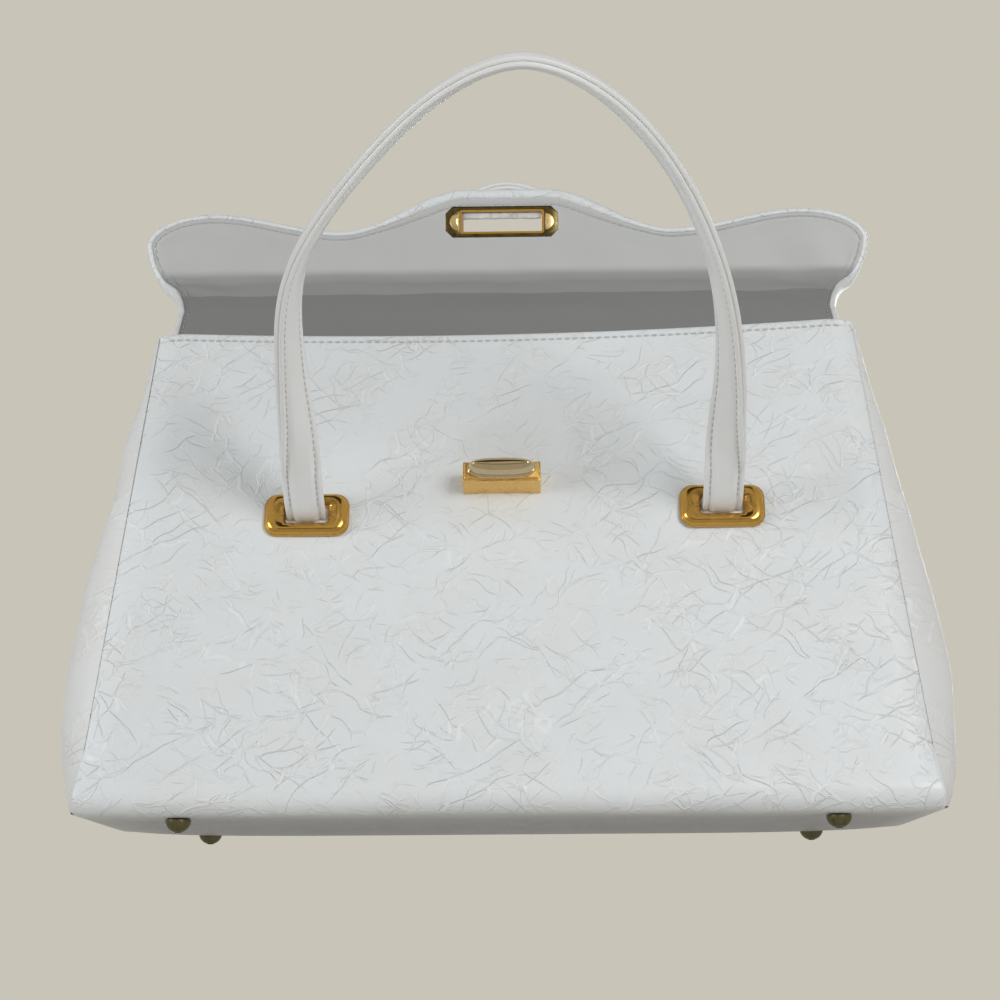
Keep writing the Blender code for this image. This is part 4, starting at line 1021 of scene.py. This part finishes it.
def flap_pieces(low, high, name):
    """The leather and the lining of the flap between two lengths."""
    s = np.linspace(low, high, max(int((high - low) / 0.0011), 8))[:, None]
    half = flap_half(s - BRIDGE_LENGTH)
    thin = smooth((s + 0.002) / 0.010)
    inner = half - INSIDE * THIN_RIM
    middle = np.stack(np.broadcast_arrays(inner * np.linspace(-1, 1, 110)[1:-1], s), axis=-1)

    def side(section, sign):
        x = sign * (half - section[:, 0] * THIN_RIM)
        return np.stack(np.broadcast_arrays(x, s), axis=-1), np.broadcast_to(section[:, 1], x.shape)

    def whole(section):
        """The section at both edges and the flat middle between them."""
        parts = (side(section, -1), (middle, np.full(middle.shape[:2], section[-1, 1])), side(section[::-1], 1))
        return [np.concatenate(part, axis=1) for part in zip(*parts)]

    flat, height = whole(leather_section()[::-1])
    scale = (ROOT_THICKNESS + (FLAP_THICKNESS - ROOT_THICKNESS) * thin) / FLAP_THICKNESS
    height = np.maximum(np.where(height > 0, height * scale, height * thin), 0.0003 * (1 - thin) - thin)
    leather_piece = flap_skin(name + "_leather", (flat, height), SKIN, flip=True)
    flat, height = whole(lining_section())
    lift = wrinkle(flat) * smooth((half - np.abs(flat[..., 0]) - INSIDE * THIN_RIM) / 0.006)
    keep = s[:, 0] > (-0.002 if low < 0 else low - 1)
    grid = (flat[keep], height[keep])
    # This lining is painted shade: the dark grey of the flap's root and strip.
    lining_piece = flap_skin(name + "_lining", grid, FOLD_SKIN, flip=False, rough=lift[keep])
    return leather_piece, lining_piece


def seam_track(flat_path):
    place, normal = flap_place(flat_path[:, 1], flat_path[:, 0], -0.00005)
    return place, -normal


def make_flap():
    middle_bridge = BRIDGE_LENGTH / 2
    middle_strip = BRIDGE_LENGTH + STRIP_LENGTH / 2
    crease = BRIDGE_LENGTH + STRIP_LENGTH

    def bend(pieces, bodies, start, end):
        for piece in pieces:
            blend(piece, bodies, flap_place(start, 0.0, 0.0)[0], flap_place(end, 0.0, 0.0)[0])

    for low, high, name, bodies, ends, nodes in (
        (BAND_LOW, middle_bridge, "flap_root", ("bag", "flap_bridge"), (-0.004, 0.009),
         (("flap_bridge_leather", "flap_hinge_band"), ("flap_bridge_lining",))),
        (middle_bridge, middle_strip, "flap_fold", ("flap_bridge", "flap_strip"),
         (BRIDGE_LENGTH - 0.008, BRIDGE_LENGTH + 0.008), (("flap_strip_leather",), ("flap_strip_lining",))),
    ):
        skins = flap_pieces(low, high, name)
        s = np.linspace(max(low, 0.002), high, 40)
        half = flap_half(s - BRIDGE_LENGTH) - SEAM_IN * THIN_RIM
        tracks = [seam_track(np.column_stack([side * half, s])) for side in (-1, 1)]
        bend((*skins, stitches(name + "_stitches", tracks)), bodies, *ends)
        for piece, replaced in zip(skins, nodes):
            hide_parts(*replaced)
    leather_grid = swept_edge(middle_strip, leather_section())
    lining_grid = swept_edge(middle_strip, lining_section())
    rim = flap_skin("flap_front_edge", leather_grid, SKIN, flip=False)
    grid = fan(middle_strip, leather_grid[0][:, 0], FLAP_THICKNESS)
    back = flap_skin("flap_front_back", grid, SKIN, flip=True, hole=True)
    border = flap_skin("flap_front_border", lining_grid, LINING_SKIN, flip=False)
    grid = fan(middle_strip, lining_grid[0][:, -1], lining_grid[1][0, -1])
    flat = grid[0]
    lift = wrinkle(flat) * np.minimum(np.arange(flat.shape[1]), 8) / 8
    lift = lift * smooth((np.hypot(flat[..., 0] / 1.6, flat[..., 1] - eye_middle()) - 0.014) / 0.01)
    face = flap_skin("flap_front_lining_skin", grid, LINING_SKIN, flip=False, rough=lift, hole=True)
    edge, inward = free_edge(middle_strip)
    line = edge + inward * (SEAM_IN * rim_share(edge[:, 0]))[:, None]
    seam = stitches("flap_front_stitches", [seam_track(line)])
    bend((rim, back, border, face, seam), ("flap_strip", "flap_front"), crease - 0.006, crease + 0.006)
    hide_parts("flap_front_leather")
    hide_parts("flap_front_lining")
    make_eye()


def eye_middle():
    """Length along the flap at the middle of the eye's slot."""
    ahead = np.array([-0.0020, FLAP_LIFT])
    down = np.array([-math.sin(SLOPE), -math.cos(SLOPE)])
    return LOCK_DROP - float(ahead @ down) + (SLOT_BELOW - SLOT_ABOVE) / 2 + BRIDGE_LENGTH


def front_frame(s):
    """X across (as seen from behind), Y along the flap and Z out of its leather, at a length on the stiff front."""
    at, point, _, (y, z), _ = flap_bends()[2]
    return frame_of((-1, 0, 0), (0, y, z), (0, z, -y), (0, *(point + np.array([y, z]) * (s - at))))


def make_eye():
    matrix = front_frame(eye_middle())
    matrix.translation.x -= EYE_LEFT
    height = SLOT_ABOVE + SLOT_BELOW
    chamfer = rounded_outline(EYE_WIDTH, EYE_HEIGHT, EYE_CHAMFER, 1, straight=5)
    slot = rounded_outline(SLOT_WIDTH + 2 * SLOT_WALL, height + 2 * SLOT_WALL, 0.0006, 1, straight=5)
    inner_slot = rounded_outline(SLOT_WIDTH, height, 0.0004, 1, straight=5)

    def frame_rings(low, high, hole):
        lip = math.copysign(0.00025, high - low)
        rings = [
            (chamfer, low), (chamfer, high - lip), (chamfer - chamfer * (0.001 / EYE_WIDTH, 0.001 / EYE_HEIGHT), high),
            (hole + (chamfer - hole) * 0.12, high), (hole, high - lip), (hole, low),
        ]
        return [at_height(*ring) for ring in rings]

    level = 0.0007
    rings = frame_rings(level, level - EYE_THICKNESS, slot)
    ring_piece("eye_frame_inner", rings, matrix, OLIVE_BRASS, "flap_front", ("eye_plate_inner",))
    top = FLAP_THICKNESS + 0.0003
    rings = frame_rings(top, top + EYE_THICKNESS, inner_slot)
    rings += [at_height(inner_slot, -0.0004), at_height(slot * 0.999, -0.0004), at_height(slot * 0.999, top)]
    ring_piece("eye_frame_outer", rings, matrix, GOLD, "flap_front", ("eye_plate_outer",))
    turns = np.linspace(-math.pi / 2, math.pi / 2, 18)
    flat_edge = SLOT_WIDTH / 2 + SLOT_WALL + 0.0006
    for side, word in SIDES:
        rings = []
        for shrink, rise in ((0.0, 0.0), (0.0, 0.0001), (0.08, 0.0002), (0.25, 0.0003), (0.6, 0.00035)):
            radius = PAD_RADIUS * (1 - shrink)
            curve = [(side * (flat_edge + radius * math.cos(t) * 0.95), radius * math.sin(t)) for t in turns]
            close = [(side * (flat_edge + 0.0002 * shrink), radius * math.sin(t) * 0.98) for t in turns[::-1]]
            rings.append(at_height(np.array(curve + close), level - EYE_THICKNESS - rise))
        ring_piece("eye_pad_" + word, rings, matrix, PALE_GOLD, "flap_front", caps=(True, True))
    x = np.linspace(-SLOT_WIDTH / 2 + 0.0003, SLOT_WIDTH / 2 - 0.0003, 60)
    rows = []
    for y, z in ((0.0, 0.0012), (0.0, 0.0012), (-0.0020, 0.0013), (-0.0024, 0.0016), (-0.0025, 0.0022),
                 (-0.0021, 0.0028), (0.0, 0.0029)):
        rough = 0.00012 * waves(x, 0 * x + y * 9, 0.004, 41) * (y < 0)
        rows.append(np.column_stack([x, height / 2 - 0.0001 + y + rough, z + 0 * x]))
    points = np.array(rows)
    placed = through(matrix, points.reshape(-1, 3)).reshape(points.shape)
    on_body(grid_piece("slot_leather_edge", placed, GUSSET_SKIN, points[..., :2] * 60), "flap_front")


# Hidden CAD pieces

def dress_nodes():
    looks = {
        "stiff_board": BOARD, "plain_steel": STEEL, "strap_leather": STRAP_SKIN, "pale_lining": INNER_SKIN,
        "gold_plate": GOLD,
    }
    slots = {part["node"]: part["material_slot"] for part in frame["record"]["subparts"]}
    for node, item in frame["nodes"].items():
        if slots.get(node) in looks:
            for place in item.material_slots:
                place.material = looks[slots[node]]


# Stage

def seen_ray(tree):
    """1 for the rays that show things: from the camera, through glass and off gloss."""
    path = add_node(tree, "ShaderNodeLightPath").outputs
    seen = maths(tree, "MAXIMUM", path["Is Camera Ray"], path["Is Transmission Ray"])
    return maths(tree, "MAXIMUM", seen, path["Is Glossy Ray"])


def mixed(tree, share, first, second):
    return add_node(tree, "ShaderNodeMixShader", {"Fac": share, 1: first.outputs[0], 2: second.outputs[0]})


def empty_tree(owner):
    owner.use_nodes = True
    owner.node_tree.nodes.clear()
    return owner.node_tree


def stage_quad(name, corners, material, *unseen):
    """A flat piece of the stage, not seen by the kinds of ray named."""
    mesh = bpy.data.meshes.new(name)
    mesh.from_pydata([Vector(corner) for corner in corners], [], [(0, 1, 2, 3)])
    mesh.materials.append(material)
    item = new_object(name, mesh)
    for kind in unseen:
        setattr(item, "visible_" + kind, False)


def make_stage():
    world = bpy.data.worlds.new("studio")
    bpy.context.scene.world = world
    tree = empty_tree(world)
    plain = add_node(tree, "ShaderNodeBackground", {"Color": (0.95, 0.98, 1.0, 1), "Strength": 0.27})
    shown = add_node(tree, "ShaderNodeBackground", {"Color": (*BACKDROP, 1), "Strength": 1.0})
    both = mixed(tree, seen_ray(tree), plain, shown)
    add_node(tree, "ShaderNodeOutputWorld", {"Surface": both.outputs[0]})

    material = bpy.data.materials.new("pale_floor")
    tree = empty_tree(material)
    matt = add_node(tree, "ShaderNodeBsdfDiffuse", {"Color": (0.60, 0.58, 0.52, 1)})
    pale = add_node(tree, "ShaderNodeEmission", {"Color": (*BACKDROP, 1), "Strength": 1.0})
    above = mixed(tree, maths(tree, "MULTIPLY", seen_ray(tree), FLOOR_PALE), matt, pale)
    from_below = add_node(tree, "ShaderNodeNewGeometry").outputs["Backfacing"]
    both = mixed(tree, from_below, above, add_node(tree, "ShaderNodeBsdfTransparent"))
    add_node(tree, "ShaderNodeOutputMaterial", {"Surface": both.outputs[0]})
    corners = [(x * FLOOR_HALF, y * FLOOR_HALF, 0) for x, y in ((-1, -1), (1, -1), (1, 1), (-1, 1))]
    stage_quad("floor", corners, material, "shadow")

    dark, _, shader = node_material("dark_card")
    shader.inputs["Base Color"].default_value = (0.035, 0.028, 0.02, 1)
    for number, corners in enumerate(CARDS):
        stage_quad(f"card_{number}", corners, dark, "camera", "diffuse", "shadow", "transmission")


def add_light(name, place, size, power, colour=(1, 1, 1), target=(0, 0, 0.09)):
    data = bpy.data.lights.new(name, "AREA")
    data.shape = "DISK"
    data.size = size
    data.energy = power
    data.color = colour
    lamp = new_object(name, data)
    lamp.location = np.array(place) + BAG
    lamp.rotation_mode = "QUATERNION"
    lamp.rotation_quaternion = (Vector(target) - Vector(place)).to_track_quat("-Z", "Y")


def make_lights():
    add_light("key", (0.80, -1.28, 0.40), 0.7, 9.3)
    add_light("left", (-1.35, -0.75, 0.24), 0.8, 8.5, (0.96, 0.99, 1.0))
    add_light("behind", (0.5, 1.5, 0.55), 0.9, 9.0, (0.98, 0.99, 1.0))
    add_light("under", (0.0, -0.50, -0.40), 0.5, 0.7, (0.95, 0.94, 1.0), (0, 0, 0))


CAMERA_PLACE = (0.00846, -0.75324, -0.04839)
CAMERA_TURNS = (12.67, -0.84, -0.37)
FOCAL_PIXELS = 2039.0


def make_camera():
    """The photograph's view, from low in front and looking up."""
    data = bpy.data.cameras.new("camera")
    data.sensor_width = 36.0
    data.lens = FOCAL_PIXELS * data.sensor_width / 1000.0
    data.clip_start, data.clip_end = 0.01, 20
    camera = new_object("camera", data)
    pitch, yaw, roll = np.radians(CAMERA_TURNS).tolist()
    forward = Vector((math.sin(yaw) * math.cos(pitch), math.cos(yaw) * math.cos(pitch), math.sin(pitch)))
    right = forward.cross(Vector((0, 0, 1))).normalized()
    up = right.cross(forward)
    right, up = right * math.cos(roll) + up * math.sin(roll), up * math.cos(roll) - right * math.sin(roll)
    camera.matrix_world = frame_of(right, up, -forward, BAG + CAMERA_PLACE)
    bpy.context.scene.camera = camera


make_camera()
make_stage()
make_lights()
bpy.context.scene.view_settings.view_transform = "Standard"
dress_nodes()
make_body_skin()
make_gussets()
make_lining()
make_plates()
make_lock()
make_feet()
make_handles()
make_flap()
